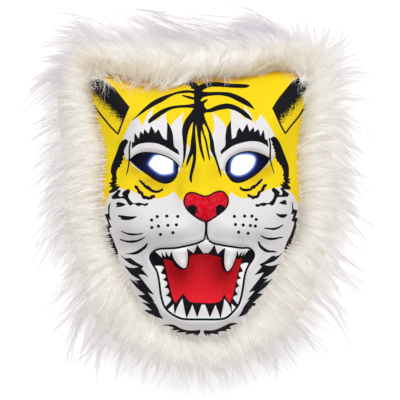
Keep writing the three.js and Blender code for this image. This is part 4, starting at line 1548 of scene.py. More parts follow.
# The fur's outline: the angle round the mask, then the radius to which the fur is dense
# and the radius of the longest wisps.
FUR_OUTLINE = [
    (-180, 155, 184), (-170, 157, 180), (-160, 157, 186), (-150, 159, 184),
    (-140, 170, 205), (-130, 181, 214), (-120, 185, 210), (-110, 182, 204),
    (-100, 182, 200), (-90, 179, 196), (-80, 183, 200), (-70, 181, 202), (-60, 176, 206),
    (-50, 174, 216), (-40, 166, 208), (-30, 156, 198), (-20, 156, 190), (-10, 158, 188),
    (0, 158, 182), (10, 158, 186), (20, 158, 196), (30, 172, 214), (40, 186, 228),
    (50, 200, 240), (60, 200, 224), (70, 189, 206), (80, 180, 192), (90, 167, 184),
    (100, 168, 188), (110, 186, 210), (120, 192, 222), (130, 208, 236), (140, 204, 228),
    (150, 184, 212), (160, 164, 192), (170, 157, 180), (180, 155, 184),
]
HIDE_START = 5.5
HIDE_INSET = 20.0
HIDE_CLEAR = 1.2
HIDE_SLOPE = 9.0

# How the fur lies: the angle round the mask, then the heading of the hair beside the face
# and at the outer tips there, all in degrees.
FUR_LIE = [
    (-180, -178, -138), (-165, -172, -138), (-150, -160, -134), (-140, -140, -128),
    (-128, -118, -122), (-115, -105, -112), (-105, -92, -98), (-95, -78, -82),
    (-85, -68, -76), (-75, -60, -67), (-62, -45, -58), (-50, -33, -50), (-38, -25, -46),
    (-25, -18, -46), (-10, -8, -42), (0, 4, -35), (12, 14, -26), (24, 18, -24),
    (34, 22, -10), (42, 34, 20), (50, 50, 56), (58, 70, 104), (66, 84, 130),
    (76, 96, 152), (90, 108, 168), (101, 118, 158), (112, 126, 143), (122, 136, 147),
    (131, 148, 168), (140, 162, 188), (150, 174, 208), (160, 182, 226), (170, 182, 222),
    (180, 182, 222),
]

# The heading of the forelocks, which hang over the top of the face, by the same angle.
FORELOCK_LIE = [
    (40, 240), (50, 262), (60, 270), (70, 256), (80, 246), (92, 252), (100, 240), (108, 230),
    (115, 226), (120, 250), (124, 292), (129, 306), (134, 308), (140, 300),
]


# Where tan shade is painted into the hair: the angle and its spread, and the distance past the
# fur's edge and its spread, and how much.
TAN_SHADE_PATCHES = [
    (122, 12, 13, 13, 0.8), (106, 9, 12, 9, 0.35), (61, 10, 12, 12, 0.5), (78, 12, 6, 7, 0.2),
    (92, 12, 3, 5, 0.2),
    (180, 50, 1, 5, 0.35), (-180, 50, 1, 5, 0.35), (0, 40, 1, 5, 0.3),
]


def by_angle(table, angle):
    """The values at an angle, from a table that goes round the mask in degrees."""
    turned = np.degrees(np.arctan2(np.sin(angle), np.cos(angle)))
    keys, *columns = np.array(table, float).T
    return [np.interp(turned, keys, column) for column in columns]


# How deep the hairs root under the hide's surface, in millimetres.
ROOT_DEPTH = 1.2


class Pelt:
    """The ring on which the fur grows."""

    def __init__(self):
        angle, past = polar(from_photo(curve_through(FACE_EDGE, True), EDGE_LIFT))
        order = np.argsort(angle)
        self.angle, self.past = angle[order], past[order]

    def edge(self, angle):
        """How far past the rim the fur begins; it is negative, as the fur laps the face."""
        turned = np.arctan2(np.sin(angle), np.cos(angle))
        return np.interp(turned, self.angle, self.past, period=2 * np.pi)

    def outline(self, angle):
        """How far past the rim the fur is dense, and how far its longest wisps go."""
        dense, tips = by_angle(FUR_OUTLINE, angle)
        rim = around(RIM, angle)
        return dense - rim, tips - rim

    def hide_end(self, angle):
        return self.outline(angle)[0] - HIDE_INSET

    def parting(self, angle):
        """How far past the rim the hair begins that lies outwards."""
        return self.edge(angle) + by_angle(PARTING, angle)[0]

    def reach(self, angle, share):
        """Distances past the rim: 0 is the parting, 1 the dense fur's end, 2 the last tip."""
        begin = self.parting(angle)
        dense, tips = self.outline(angle)
        near = begin + share * (dense - begin)
        return np.where(share < 1, near, dense + (share - 1) * (tips - dense))

    def levels(self, angle, past):
        """The height of the hide and of the fur's surface at places past the rim."""
        begin = self.edge(angle)
        way = self.outline(angle)[1] - begin - 8
        hide, crest = (np.full(np.shape(angle), level) for level in FUR_SECTION[0][2:])
        for here, ahead in zip(FUR_SECTION, FUR_SECTION[1:]):
            near, far = (begin + row[0] + row[1] * way for row in (here, ahead))
            t = np.clip((past - near) / np.maximum(far - near, 0.1), 0, 1)
            hide = hide + (ahead[2] - here[2]) * t
            crest = crest + (ahead[3] - here[3]) * t
        radius = around(RIM, angle) + past
        face = face_height(radius * np.cos(angle), radius * np.sin(angle))
        top = np.maximum(hide, face + HIDE_CLEAR)
        slope = smoothstep(past - begin, HIDE_START - 1, HIDE_START + HIDE_SLOPE)
        foot = np.maximum(face, WALL + RIM_HEIGHT) + HIDE_CLEAR
        return foot + (top - foot) * slope, np.maximum(crest, top + 7)

    def hair_height(self, places, share):
        """The height of hair at a share of the way from its root to the fur's surface."""
        hide, crest = self.levels(*polar(places))
        root = hide - ROOT_DEPTH
        return root + (crest - root) * share

    def heading(self, places):
        """The way the hair points at a place, in radians."""
        angle, past = polar(places)
        x, y = places.T
        out = np.clip(past / (0.9 * self.outline(angle)[0]), 0, 1)
        near, far = by_angle(FUR_LIE, angle)
        drift = 8 * np.sin(x / 17 + 2 * np.sin(y / 31)) + 6 * np.sin(y / 13 + x / 23)
        return np.radians(near + (far - near) * out + drift)


def even_angles(count):
    """Angles whose points on the rim are evenly spaced."""
    fine = np.linspace(0, 2 * np.pi, 2881)
    rim = rim_point(fine, 0, 0)
    run = np.concatenate([[0], np.cumsum(np.linalg.norm(np.diff(rim, axis=0), axis=1))])
    return np.interp(np.arange(count) / count * run[-1], run, fine)


# How far the hide's underside keeps from the brim and from the ground.
HIDE_GAP = 0.6
GROUND_GAP = 0.3


def make_hide(fur):
    """The hide under the fur: a ring that follows the face, the brim and the ground."""
    pelt = Pelt()
    angle = even_angles(fur.hide_spokes)
    begin, end = pelt.edge(angle) + HIDE_START, pelt.hide_end(angle)
    rows = []
    for share in np.linspace(0, 1, fur.hide_rows):
        past = begin + share * (end - begin)
        rows.append(rim_point(angle, past, pelt.levels(angle, past)[0]))
    lip, beside = (rim_point(angle, past, 0) for past in (begin, -3))
    lip[:, 2] = face_height(*lip.T[:2]) + 0.3
    beside[:, 2] = face_height(*beside.T[:2]) + 0.4
    closing = [
        rim_point(angle, end, GROUND_GAP),
        rim_point(angle, FLANGE_WIDTH + HIDE_GAP, GROUND_GAP),
        rim_point(angle, FLANGE_WIDTH + HIDE_GAP, WALL + HIDE_GAP),
        rim_point(angle, HIDE_GAP, WALL + HIDE_GAP),
        rim_point(angle, HIDE_GAP, RIM_HEIGHT + HIDE_GAP),
        beside,
        lip,
    ]
    loops = [*rows, *closing]
    count = len(angle)
    spoke = np.arange(count)
    after = np.roll(spoke, -1)
    faces = []
    for k in range(len(loops)):
        here, there = k * count, ((k + 1) % len(loops)) * count
        faces.append(np.stack([here + spoke, there + spoke, here + after], axis=1))
        faces.append(np.stack([here + after, there + spoke, there + after], axis=1))
    look = pelt_look("underfur", fur.underfur, fur.underfur_shade, fur.painted_glow)
    points = np.vstack(loops)
    seen, past = polar(points)
    beyond = np.clip(past - pelt.edge(seen) - HIDE_START, 0, None)
    # How much shade is painted at the hide's lip, beside the top of the face.
    lip = np.exp(-beyond / 6) * smoothstep(points[:, 1], 40, 100)
    piece = make_piece(
        "fur_hide", points, np.vstack(faces), [look], attributes={"lip": lip}
    )
    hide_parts("fur_trim")


# The pieces of a lock's path, and how far a hair runs before it is up in the fur.
PATH_PIECES = 14
RISE = 9.0

# How far from the middle the longest wisps may end, in x and y.
TIP_LIMIT = np.array([187, 203])

# The steps by which places are drawn evenly along the rim.
RIM_STEPS = 4096

# How far the hairs over the face keep from it.
FACE_CLEAR = 0.8


def traced_back(pelt, tip, lean, curl, length, stray):
    """The middles of locks, from roots to tips, and where on the way each one can root."""
    position = tip
    path = [position]
    for k in range(PATH_PIECES):
        bend = (1 - (k + 0.5) / PATH_PIECES) ** 2
        turn = pelt.heading(position) + lean + curl * bend
        position = position - length / PATH_PIECES * pointing(turn)
        path.append(position)
    path = np.array(path[::-1])
    angle, past = polar(path)
    clear = past - pelt.parting(angle) + stray
    last = np.max(np.where(clear < 0, np.arange(PATH_PIECES + 1)[:, None], -1), axis=0)
    kind = np.arange(path.shape[1])
    low, high = np.maximum(last, 0), np.minimum(last + 1, PATH_PIECES)
    part = -clear[low, kind] / np.maximum(clear[high, kind] - clear[low, kind], 1e-6)
    first = np.where(last < 0, 0, last + np.clip(part, 0, 1)) / PATH_PIECES
    return path, np.minimum(first, 0.85)


def along_path(path, share):
    """The places at one share, from 0 to 1, of the way along each path."""
    at = np.clip(share, 0, 1) * (len(path) - 1)
    low = np.minimum(at.astype(int), len(path) - 2)
    part = (at - low)[:, None]
    hair = np.arange(path.shape[1])
    return path[low, hair] * (1 - part) + path[low + 1, hair] * part


def strands(random, pelt, fur, layer):
    """Tapered hairs in pointed locks, placed by the locks' tips. Returns their tubes."""
    kinds, hairs = int(layer["locks"] * fur.fullness), layer["hairs"]
    turn = (np.arange(kinds) + random.random(kinds)) / kinds * (RIM_STEPS - 1)
    angle = np.interp(turn, np.arange(RIM_STEPS), even_angles(RIM_STEPS))
    low, high = layer["reach"]
    share = low + (high - low) * random.random(kinds) ** layer["thinning"]
    tip = rim_point(angle, pelt.reach(angle, share), 0)[:, :2]
    tip = np.clip(tip, -TIP_LIMIT, TIP_LIMIT)
    lean = random.normal(0, layer["lean"], kinds)
    curl = random.normal(0, layer["curl"], kinds)
    stray = random.normal(0, 1, kinds) * np.clip(pelt.parting(angle) - pelt.edge(angle), 0, 3.5)
    path, first = traced_back(pelt, tip, lean, curl, layer["length"], stray)
    lock = np.repeat(np.arange(kinds), hairs)
    count = len(lock)
    path = path[:, lock]
    begin = first[lock] + random.uniform(-2.5, 5, count) / layer["length"]
    end = random.uniform(layer["shortest"], 1, count)
    end = np.maximum(end, begin + 0.12)
    way = random.uniform(0, 2 * np.pi, count)
    wide = layer["wide"] * random.random(count) ** 0.5
    offset = wide[:, None] * pointing(way)
    astray = random.normal(0, 1, (count, 2)) * np.where(
        random.random(count) < 0.15, layer["astray"], 0.3 * layer["astray"]
    )[:, None]
    low, high = layer["level"]
    level = low + (high - low) * (0.7 * random.random(kinds)[lock] + 0.3 * random.random(count))
    steps = np.linspace(0, 1, layer["rings"])
    places = []
    for t in steps:
        at = begin + (end - begin) * t
        fade = np.clip(1 - at, 0, 1)[:, None] ** 0.75
        flat = along_path(path, at) + offset * (1 - layer["gather"] * (1 - fade))
        flat = flat + astray * (np.clip(at, 0, 1)[:, None] ** 2)
        rise = smoothstep((at - begin) * layer["length"], -1, RISE)
        height = pelt.hair_height(flat, level * rise)
        places.append(np.column_stack([flat, np.maximum(height, 0.6)]))
    tone = np.clip(0.4 * random.random(count) + 0.6 * random.random(kinds)[lock], 0, 1)
    thick = fur.hair_width / MM * layer["width"] * random.uniform(0.75, 1.25, count)
    return tube_mesh(np.array(places), thick, steps, tone)


def forelocks(random, pelt, fur, kinds, hairs):
    """Tufts from the parting over the brow that hang down over the top of the face."""
    angle = np.radians(random.uniform(48, 133, kinds))
    side = smoothstep(np.abs(np.degrees(angle) - 90), 26, 42)
    tuft = np.exp(-(((np.degrees(angle) - 112) / 11) ** 2))
    wide = pelt.parting(angle) - pelt.edge(angle)
    tip_past = pelt.edge(angle) + wide * 0.5 * random.random(kinds) ** 2
    tip_past = tip_past - random.uniform(0, 7.5, kinds) - 5 * tuft * random.random(kinds)
    tip = rim_point(angle, tip_past, 0)[:, :2]
    drift = 11 * np.sin(tip[:, 0] / 9 + 1.3) + 7 * np.sin(tip[:, 0] / 4.1)
    lie = by_angle(FORELOCK_LIE, angle + np.radians(random.normal(0, 1.5, kinds)))[0]
    turn = np.radians(lie + drift) + random.normal(0, 0.2, kinds) * (1 + side)
    inward = np.clip(-np.cos(turn - angle), 0.45, 1)
    back = pelt.parting(angle) - tip_past + random.uniform(-4, 9, kinds)
    long = np.clip(back / inward, 9, 40) * (1 - 0.35 * side)
    lock = np.repeat(np.arange(kinds), hairs)
    count = len(lock)
    way = random.uniform(0, 2 * np.pi, count)
    offset = 2.6 * random.random(count)[:, None] ** 0.5 * pointing(way)
    astray = random.normal(0, 1, (count, 2))
    astray *= np.where(random.random(count) < 0.35, 2.8, 0.7)[:, None]
    end = random.uniform(0.85, 1, count)
    level = 0.5 + 0.55 * (0.7 * random.random(kinds)[lock] + 0.3 * random.random(count))
    steps = np.linspace(0, 1, 6)
    along, across = pointing(turn)[lock], pointing(turn + np.pi / 2)[lock]
    bow = random.normal(0, 1.8, kinds)[lock]
    places = []
    for t in steps:
        at = end * t
        flat = tip[lock] - along * (long[lock] * (1 - at))[:, None]
        flat = flat + across * (bow * np.sin(math.pi * at))[:, None]
        flat = flat + offset * (1 - at)[:, None] ** 0.8 + astray * at[:, None] ** 2
        seen, beyond = polar(flat)
        over = smoothstep(beyond - pelt.edge(seen), -6, 2)
        ground = face_height(flat[:, 0], flat[:, 1]) + FACE_CLEAR
        height = pelt.hair_height(flat, level * smoothstep(t, -0.05, 0.4))
        low = ground + 1.0 + 2.5 * level
        places.append(np.column_stack([flat, np.maximum(low + (height - low) * over, ground)]))
    thick = fur.hair_width / MM * random.uniform(0.5, 0.85, count)
    tone = np.clip(0.35 * random.random(count) + 0.65 * random.random(kinds)[lock] ** 0.8, 0, 1)
    return tube_mesh(np.array(places), thick, steps, tone)


# Loose hairs that fall across the face: the pixel of their roots, their heading and its
# spread in degrees, their length in millimetres and how many there are.
LOOSE_HAIRS = [
    (96, 74, -50, 28, 24, 18), (104, 78, -55, 24, 20, 14), (91, 84, -25, 30, 12, 12),
    (118, 77, -75, 30, 9, 22),
    (137, 78, 232, 14, 19, 30), (150, 84, 235, 25, 9, 30), (165, 84, 235, 25, 9, 30),
    (186, 79, 250, 25, 8, 26), (206, 78, 262, 25, 7, 22), (226, 76, 255, 25, 8, 30),
    (262, 70, 270, 25, 6, 26), (284, 68, 262, 25, 6, 26), (304, 78, 225, 26, 14, 14),
    (296, 76, 235, 22, 16, 8),
    (306, 96, 200, 30, 6, 16),
]


def loose_hairs(random, fur):
    """Single thin hairs that lie across the ears and the brow."""
    root, turn, size = [], [], []
    for x, y, heading, spread, length, hairs in LOOSE_HAIRS:
        start = from_photo([(x, y)], 6.0)[0]
        root.append(start + random.normal(0, 2.6, (hairs, 2)))
        turn.append(np.radians(heading + random.normal(0, spread, hairs)))
        size.append(length * random.uniform(0.5, 1.25, hairs))
    root, turn, size = np.vstack(root), np.concatenate(turn), np.concatenate(size)
    bow = random.normal(0, 0.5, len(turn))
    steps = np.linspace(0, 1, 6)
    places = []
    for t in steps:
        position = root + (size * t)[:, None] * pointing(turn + bow * t)
        height = face_height(*position.T) + 0.7 + 5.0 * (1 - t) ** 2
        places.append(np.column_stack([position, height]))
    thick = fur.hair_width / MM * random.uniform(0.35, 0.6, len(turn))
    return tube_mesh(np.array(places), thick, steps, random.random(len(turn)))


def fringe(random, pelt, fur, count):
    """Short hairs all along the face's edge, which soften it."""
    place = (random.random(count) * RIM_STEPS).astype(int)
    angle = even_angles(RIM_STEPS)[place] + random.normal(0, 4e-4, count)
    angle = angle[(np.abs(np.degrees(angle) - 90) > 46) | (random.random(count) < 0.35)]
    count = len(angle)
    past = pelt.edge(angle) + random.uniform(-0.6, 3.0, count)
    root = rim_point(angle, past, 0)[:, :2]
    size = random.uniform(2.0, 5.5, count)
    turn = -np.pi / 2 + 0.3 * np.cos(angle) + random.normal(0, 0.5, count)
    start = pelt.levels(angle, past)[0] - 1
    rise = random.uniform(1, 5, count)
    steps = np.linspace(0, 1, 4)
    places = []
    for t in steps:
        flat = root + (size * t)[:, None] * pointing(turn)
        ground = face_height(flat[:, 0], flat[:, 1])
        height = start + rise * math.sin(math.pi * min(t * 0.85, 1.0)) - 2 * t
        places.append(np.column_stack([flat, np.maximum(height, ground + FACE_CLEAR)]))
    thick = fur.hair_width / MM * random.uniform(0.22, 0.45, count)
    return tube_mesh(np.array(places), thick, steps, random.random(count))


def tube_mesh(places, thick, steps, tone):
    """Three-sided tubes along many paths at once, each closed at its root and its tip."""
    rings = len(places)
    along = np.gradient(places, axis=0)
    along /= np.maximum(np.linalg.norm(along, axis=2, keepdims=True), 1e-9)
    side = np.cross(along, (0.0, 0.0, 1.0))
    side /= np.maximum(np.linalg.norm(side, axis=2, keepdims=True), 1e-9)
    top = np.cross(side, along)
    vertices = []
    for k in range(rings - 1):
        radius = (thick * 0.5 * (1 - 0.85 * steps[k] ** 1.5))[:, None]
        for turn in (math.pi / 2, math.pi * 7 / 6, math.pi * 11 / 6):
            ring = math.cos(turn) * side[k] + math.sin(turn) * top[k]
            vertices.append(places[k] + radius * ring)
    vertices.append(places[-1])
    points = np.stack(vertices, axis=1)
    triangles = [(0, 2, 1)]
    for k in range(rings - 2):
        for corner in range(3):
            a, b = 3 * k + corner, 3 * k + (corner + 1) % 3
            triangles += [(a, b, b + 3), (a, b + 3, a + 3)]
    last = 3 * (rings - 2)
    end = len(vertices) - 1
    triangles += [(last + corner, last + (corner + 1) % 3, end) for corner in range(3)]
    share = np.append(np.repeat(steps[:-1], 3), 1.0)
    return {"points": points, "triangles": np.array(triangles), "along": share, "tone": tone}


# The layers of locks, from the outermost wisps to the short hair beside the face. A lock's
# tip lies between two reaches, its hairs spread wide at their roots, and they end between
# its shortest share and its tip.
LOCK = {
    "rings": 5, "gather": 0.9, "lean": 0.08, "curl": 0.12, "wide": 4.5, "thinning": 1.0,
    "shortest": 0.6, "astray": 0.8, "width": 1.0, "level": (0.75, 1.0), "hairs": 8,
}
LOCKS = [
    {"reach": (1.05, 2.4), "thinning": 1.3, "locks": 820, "length": 60, "wide": 3.6,
     "shortest": 0.7, "gather": 0.94, "width": 0.55, "astray": 2.2, "curl": 0.3,
     "level": (0.15, 1.0), "rings": 6, "lean": 0.15, "hairs": 5},
    {"reach": (0.8, 1.35), "locks": 700, "length": 52, "gather": 0.97, "width": 0.7,
     "astray": 1.4, "curl": 0.2, "level": (0.1, 1.0), "lean": 0.1},
    {"reach": (0.45, 0.95), "locks": 1110, "length": 44, "width": 0.9, "level": (0.5, 1.0)},
    {"reach": (0.14, 0.55), "locks": 850, "length": 34, "level": (0.7, 1.0), "width": 0.9},
    {"reach": (0.04, 0.22), "locks": 620, "length": 16, "wide": 2.5, "hairs": 7, "width": 0.8,
     "rings": 4, "level": (0.5, 1.0)},
]

FORELOCKS = 600
HAIRS_IN_FORELOCK = 7
FRINGE_HAIRS = 3400

# The ring of fur is shared out between pieces, by the turn at which each one starts, so
# that no piece has too many faces.
FUR_PARTS = [
    ("fur_lower_left", 0.0, 0.13), ("fur_left", 0.13, 0.31), ("fur_upper_left", 0.31, 0.40),
    ("fur_top_left", 0.40, 0.5), ("fur_top_right", 0.5, 0.6), ("fur_upper_right", 0.6, 0.69),
    ("fur_right", 0.69, 0.87), ("fur_lower_right", 0.87, 1.0),
]


def tan_shade_share(pelt, points):
    """How much tan shade is painted into the hair: most beside the parting, over the ears."""
    angle, past = polar(points)
    past = past - pelt.edge(angle)
    tan_shade = np.zeros(len(points))
    for middle, wide, distance, depth, share in TAN_SHADE_PATCHES:
        off = (np.degrees(angle) - middle) / wide
        tan_shade += share * np.exp(-(off**2) - ((past - distance) / depth) ** 2)
    return np.clip(tan_shade, 0, 1)


def make_fur(fur):
    """All the hairs, made in layers and then shared out between the pieces."""
    random = np.random.default_rng(fur.seed)
    pelt = Pelt()
    layers = [
        *[strands(random, pelt, fur, LOCK | kind) for kind in LOCKS],
        forelocks(random, pelt, fur, FORELOCKS, HAIRS_IN_FORELOCK),
        fringe(random, pelt, fur, FRINGE_HAIRS),
        loose_hairs(random, fur),
    ]
    look = fur_look("pile", fur)
    for name, start, end in FUR_PARTS:
        points, faces, along, tone = [], [], [], []
        used = 0
        for layer in layers:
            first = layer["points"][:, 0]
            turn = (np.arctan2(first[:, 1], first[:, 0]) / (2 * np.pi) + 0.25) % 1.0
            chosen = (turn >= start) & (turn < end)
            number, per = chosen.sum(), layer["points"].shape[1]
            shift = used + np.arange(number)[:, None, None] * per
            points.append(layer["points"][chosen].reshape(-1, 3))
            faces.append((shift + layer["triangles"][None]).reshape(-1, 3))
            along.append(np.tile(layer["along"], number))
            tone.append(np.repeat(layer["tone"][chosen], per))
            used += number * per
        points = np.vstack(points)
        angle, past = polar(points)
        # The hairs carry their painted tan shade as an attribute.
        values = {
            "along": np.concatenate(along), "tone": np.concatenate(tone),
            "outward": past / pelt.outline(angle)[1], "tan_shade": tan_shade_share(pelt, points),
        }
        piece = make_piece(
            name, points, np.vstack(faces), [look], attributes=values
        )
        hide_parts("fur_trim")


def area_light(name, place, size, energy, colour=(1, 1, 1)):
    data = bpy.data.lights.new(name, "AREA")
    data.shape = "DISK"
    data.size = size
    data.energy = energy
    data.color = colour
    lamp = bpy.data.objects.new(name, data)
    bpy.context.scene.collection.objects.link(lamp)
    lamp.location = place
    lamp.rotation_mode = "QUATERNION"
    lamp.rotation_quaternion = (Vector(place) - Vector((0, 0, 0.03))).to_track_quat("Z", "Y")


def make_stage(stage):
    """The camera, a pale floor and soft studio light."""
    scene = bpy.context.scene
    data = bpy.data.cameras.new("camera")
    data.sensor_width = SENSOR_WIDTH
    data.lens = SENSOR_WIDTH * CAMERA_DISTANCE / FRAME_WIDTH
    data.clip_start = 0.1
    camera = bpy.data.objects.new("camera", data)
    scene.collection.objects.link(camera)
    camera.location = (CAMERA_TARGET + CAMERA_DISTANCE * CAMERA_AXES[2]) * MM
    camera.rotation_mode = "QUATERNION"
    camera.rotation_quaternion = Matrix(CAMERA_AXES.tolist()).transposed().to_quaternion()
    scene.camera = camera
    scene.view_settings.view_transform = "Standard"

    mesh = bpy.data.meshes.new("floor")
    half = stage.floor_size / 2
    corners = [(-half, -half, 0), (half, -half, 0), (half, half, 0), (-half, half, 0)]
    mesh.from_pydata(corners, [], [(0, 1, 2, 3)])
    floor = bpy.data.objects.new("floor", mesh)
    scene.collection.objects.link(floor)
    look = Look("floor_paper", Roughness=0.9, Emission_Strength=stage.floor_glow)
    look.drive("Base Color", opaque(stage.floor_colour))
    look.drive("Emission Color", opaque(stage.floor_colour))
    mesh.materials.append(look.material)

    world = bpy.data.worlds.new("studio")
    scene.world = world
    world.use_nodes = True
    background = world.node_tree.nodes["Background"]
    background.inputs["Color"].default_value = (1, 1, 1, 1)
    background.inputs["Strength"].default_value = stage.ambient
    area_light("key_light", (0.1, 1.05, 1.45), 0.9, stage.key)
    area_light("fill_light", (-0.05, -0.3, 2.1), 1.2, stage.fill)


class TIGER_PG_face(bpy.types.PropertyGroup):
    """Sizes and colours of the felt face."""

    pitch: FloatProperty(
        name="Mesh pitch", description="Distance between the face's points",
        default=1.35 * MM, min=0.8 * MM, unit="LENGTH",
    )
    eye_rim: FloatProperty(
        name="Eye rim", description="Width of the dark edge round each eye opening",
        default=1.0 * MM, min=0, unit="LENGTH",
    )
    yellow: FloatVectorProperty(
        name="Yellow", description="Ground colour of the print", subtype="COLOR",
        default=linear(255, 225, 22),
    )
    ochre: FloatVectorProperty(
        name="Ochre", description="Shade in the yellow", subtype="COLOR",
        default=linear(252, 216, 22),
    )
    white: FloatVectorProperty(
        name="White", description="The muzzle, jaw and eye patches", subtype="COLOR",
        default=linear(240, 238, 240),
    )
    white_shade: FloatVectorProperty(
        name="White shade", description="Shade in the white", subtype="COLOR",
        default=linear(228, 224, 226),
    )
    black: FloatVectorProperty(
        name="Black", description="Stripes and lines", subtype="COLOR",
        default=linear(13, 12, 20),
    )
    red: FloatVectorProperty(
        name="Nose red", description="The nose's felt", subtype="COLOR",
        default=linear(222, 10, 38),
    )
    mouth: FloatVectorProperty(
        name="Mouth red", description="The low part of the mouth", subtype="COLOR",
        default=linear(242, 34, 50),
    )
    # The colour of the painted shade in the mouth, beside the fangs and towards the upper lip.
    mouth_shade: FloatVectorProperty(
        name="Mouth dark red", description="The mouth beside the fangs", subtype="COLOR",
        default=linear(146, 0, 10),
    )
    tooth: FloatVectorProperty(
        name="Teeth", description="Teeth and fangs", subtype="COLOR",
        default=linear(253, 253, 253),
    )


class TIGER_PG_eyes(bpy.types.PropertyGroup):
    """The dark eye windows and the lamps in them."""

    pitch: FloatProperty(
        name="Mesh pitch", description="Distance between the screens' points",
        default=1.2 * MM, min=0.5 * MM, unit="LENGTH",
    )
    screen: FloatVectorProperty(
        name="Screen", description="Colour of the dark screen", subtype="COLOR",
        default=linear(24, 24, 44),
    )
    lamp_pitch: FloatProperty(
        name="Lamp pitch", description="Distance between the lamps' points",
        default=0.7 * MM, min=0.3 * MM, unit="LENGTH",
    )
    halo: FloatVectorProperty(
        name="Halo", description="Colour of the glow round each light", subtype="COLOR",
        default=linear(56, 84, 196),
    )
    rim_light: FloatVectorProperty(
        name="Rim light", description="Colour of the glow at a light's edge", subtype="COLOR",
        default=linear(150, 176, 246),
    )
    painted_glow: FloatProperty(
        name="Glow", description="Brightness of the halo beside the light", default=0.65, min=0,
    )
    light: FloatVectorProperty(
        name="Light", description="Colour of the lit window", subtype="COLOR",
        default=(1.0, 1.0, 1.0),
    )
    strength: FloatProperty(
        name="Strength", description="Brightness of the lit window", default=1.1, min=0,
    )


class TIGER_PG_fur(bpy.types.PropertyGroup):
    """The ring of fur."""

    fullness: FloatProperty(
        name="Fullness", description="Share of the fur's locks that are made", default=1.0,
        min=0.1, max=1.0,
    )
    seed: IntProperty(name="Seed", description="Changes how the locks fall", default=11)
    hair_width: FloatProperty(
        name="Hair width", description="Thickness of a hair at its root",
        default=0.7 * MM, unit="LENGTH",
    )
    hide_spokes: IntProperty(
        name="Hide spokes", description="Points round the hide", default=420, min=60,
    )
    hide_rows: IntProperty(
        name="Hide rows", description="Points across the hide", default=12, min=4,
    )
    ivory: FloatVectorProperty(
        name="Ivory", description="Light hair beside the face", subtype="COLOR",
        default=linear(250, 248, 245),
    )
    tan: FloatVectorProperty(
        name="Tan", description="Dark hair beside the face", subtype="COLOR",
        default=linear(223, 217, 209),
    )
    # Colour of the tan shade painted into the hair beside the parting.
    tan_shade: FloatVectorProperty(
        name="Warm", description="Tan hair beside the parting", subtype="COLOR",
        default=linear(222, 209, 184),
    )
    tip: FloatVectorProperty(
        name="Tip", description="Light hair at the outer tips", subtype="COLOR",
        default=linear(246, 242, 247),
    )
    grey: FloatVectorProperty(
        name="Grey", description="Dark hair at the outer tips", subtype="COLOR",
        default=linear(221, 216, 221),
    )
    wisp: FloatVectorProperty(
        name="Wisp", description="The longest hairs, which show against the ground",
        subtype="COLOR", default=linear(209, 203, 210),
    )
    underfur: FloatVectorProperty(
        name="Underfur", description="The dense fur under the hairs", subtype="COLOR",
        default=linear(238, 232, 221),
    )
    underfur_shade: FloatVectorProperty(
        name="Underfur shade", description="Streaks in the underfur", subtype="COLOR",
        default=linear(213, 204, 187),
    )
    # A painted glow that stands in for light shining through the fur from hair to hair.
    painted_glow: FloatProperty(
        name="Glow", description="Light that shines through the fur from hair to hair",
        default=0.22, min=0,
    )


class TIGER_PG_stage(bpy.types.PropertyGroup):
    """Floor and lights."""

    floor_size: FloatProperty(
        name="Floor size", description="Side of the square floor", default=6.0, unit="LENGTH",
    )
    floor_colour: FloatVectorProperty(
        name="Floor", description="Colour of the floor", subtype="COLOR",
        default=(0.9, 0.9, 0.9),
    )
    floor_glow: FloatProperty(
        name="Floor glow", description="Light of the light table under the mask",
        default=0.35, min=0,
    )
    ambient: FloatProperty(
        name="Ambient", description="Strength of the light from all round", default=0.42, min=0,
    )
    key: FloatProperty(
        name="Key light", description="Soft light from above the head", default=13.0,
        unit="POWER",
    )
    fill: FloatProperty(
        name="Fill light", description="Soft light from below the chin", default=9.0,
        unit="POWER",
    )


class TIGER_PG_mask(bpy.types.PropertyGroup):
    """Everything that a user would change on the mask."""

    face: PointerProperty(type=TIGER_PG_face)
    eyes: PointerProperty(type=TIGER_PG_eyes)
    fur: PointerProperty(type=TIGER_PG_fur)
    stage: PointerProperty(type=TIGER_PG_stage)


class TIGER_OT_face(bpy.types.Operator):
    """Make the printed felt face with its mouth, teeth, lids and brim"""

    bl_idname = "tiger_mask.face"
    bl_label = "Felt face"
    bl_options = {"REGISTER", "UNDO"}

    def execute(self, context):
        make_face(context.scene.tiger_mask.face)
        return {"FINISHED"}


class TIGER_OT_screens(bpy.types.Operator):
    """Make the dark screen behind each eye opening"""

    bl_idname = "tiger_mask.screens"
    bl_label = "Eye screens"
    bl_options = {"REGISTER", "UNDO"}

    def execute(self, context):
        make_screens(context.scene.tiger_mask.eyes)
        return {"FINISHED"}


class TIGER_OT_lights(bpy.types.Operator):
    """Make the lit window in each eye"""

    bl_idname = "tiger_mask.lights"
    bl_label = "Eye lights"
    bl_options = {"REGISTER", "UNDO"}

    def execute(self, context):
        make_lights(context.scene.tiger_mask.eyes)
        return {"FINISHED"}


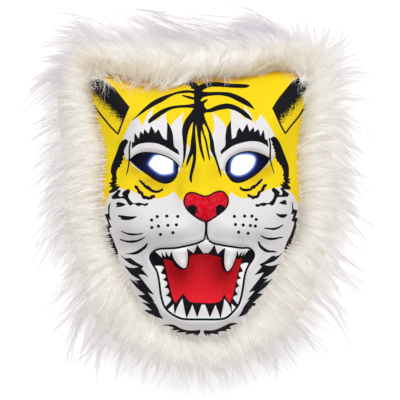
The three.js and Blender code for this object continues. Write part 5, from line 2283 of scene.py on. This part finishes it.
class TIGER_OT_hide(bpy.types.Operator):
    """Make the hide that the fur grows from"""

    bl_idname = "tiger_mask.hide"
    bl_label = "Fur hide"
    bl_options = {"REGISTER", "UNDO"}

    def execute(self, context):
        make_hide(context.scene.tiger_mask.fur)
        return {"FINISHED"}


class TIGER_OT_fur(bpy.types.Operator):
    """Make the long fur in locks, all round the face"""

    bl_idname = "tiger_mask.fur"
    bl_label = "Fur"
    bl_options = {"REGISTER", "UNDO"}

    def execute(self, context):
        make_fur(context.scene.tiger_mask.fur)
        return {"FINISHED"}


class TIGER_OT_stage(bpy.types.Operator):
    """Make the camera, the floor and the lights"""

    bl_idname = "tiger_mask.stage"
    bl_label = "Stage"
    bl_options = {"REGISTER", "UNDO"}

    def execute(self, context):
        make_stage(context.scene.tiger_mask.stage)
        return {"FINISHED"}


STEPS = (
    TIGER_OT_face, TIGER_OT_screens, TIGER_OT_lights, TIGER_OT_hide, TIGER_OT_fur,
    TIGER_OT_stage,
)


class TIGER_PT_panel(bpy.types.Panel):
    """Lists the pieces of the mask in the order they are made"""

    bl_idname = "TIGER_PT_panel"
    bl_label = "Tiger mask"
    bl_space_type = "VIEW_3D"
    bl_region_type = "UI"
    bl_category = "Tiger mask"

    def draw(self, context):
        for step in STEPS:
            self.layout.operator(step.bl_idname)


CLASSES = (
    TIGER_PG_face, TIGER_PG_eyes, TIGER_PG_fur, TIGER_PG_stage, TIGER_PG_mask, *STEPS,
    TIGER_PT_panel,
)


def register():
    for made in CLASSES:
        bpy.utils.register_class(made)
    bpy.types.Scene.tiger_mask = PointerProperty(type=TIGER_PG_mask)


def unregister():
    del bpy.types.Scene.tiger_mask
    for made in reversed(CLASSES):
        bpy.utils.unregister_class(made)


def main():
    """Makes every piece in order."""
    register()
    bpy.ops.tiger_mask.face()
    bpy.ops.tiger_mask.screens()
    bpy.ops.tiger_mask.lights()
    bpy.ops.tiger_mask.hide()
    bpy.ops.tiger_mask.fur()
    bpy.ops.tiger_mask.stage()


if __name__ == "__main__":
    main()
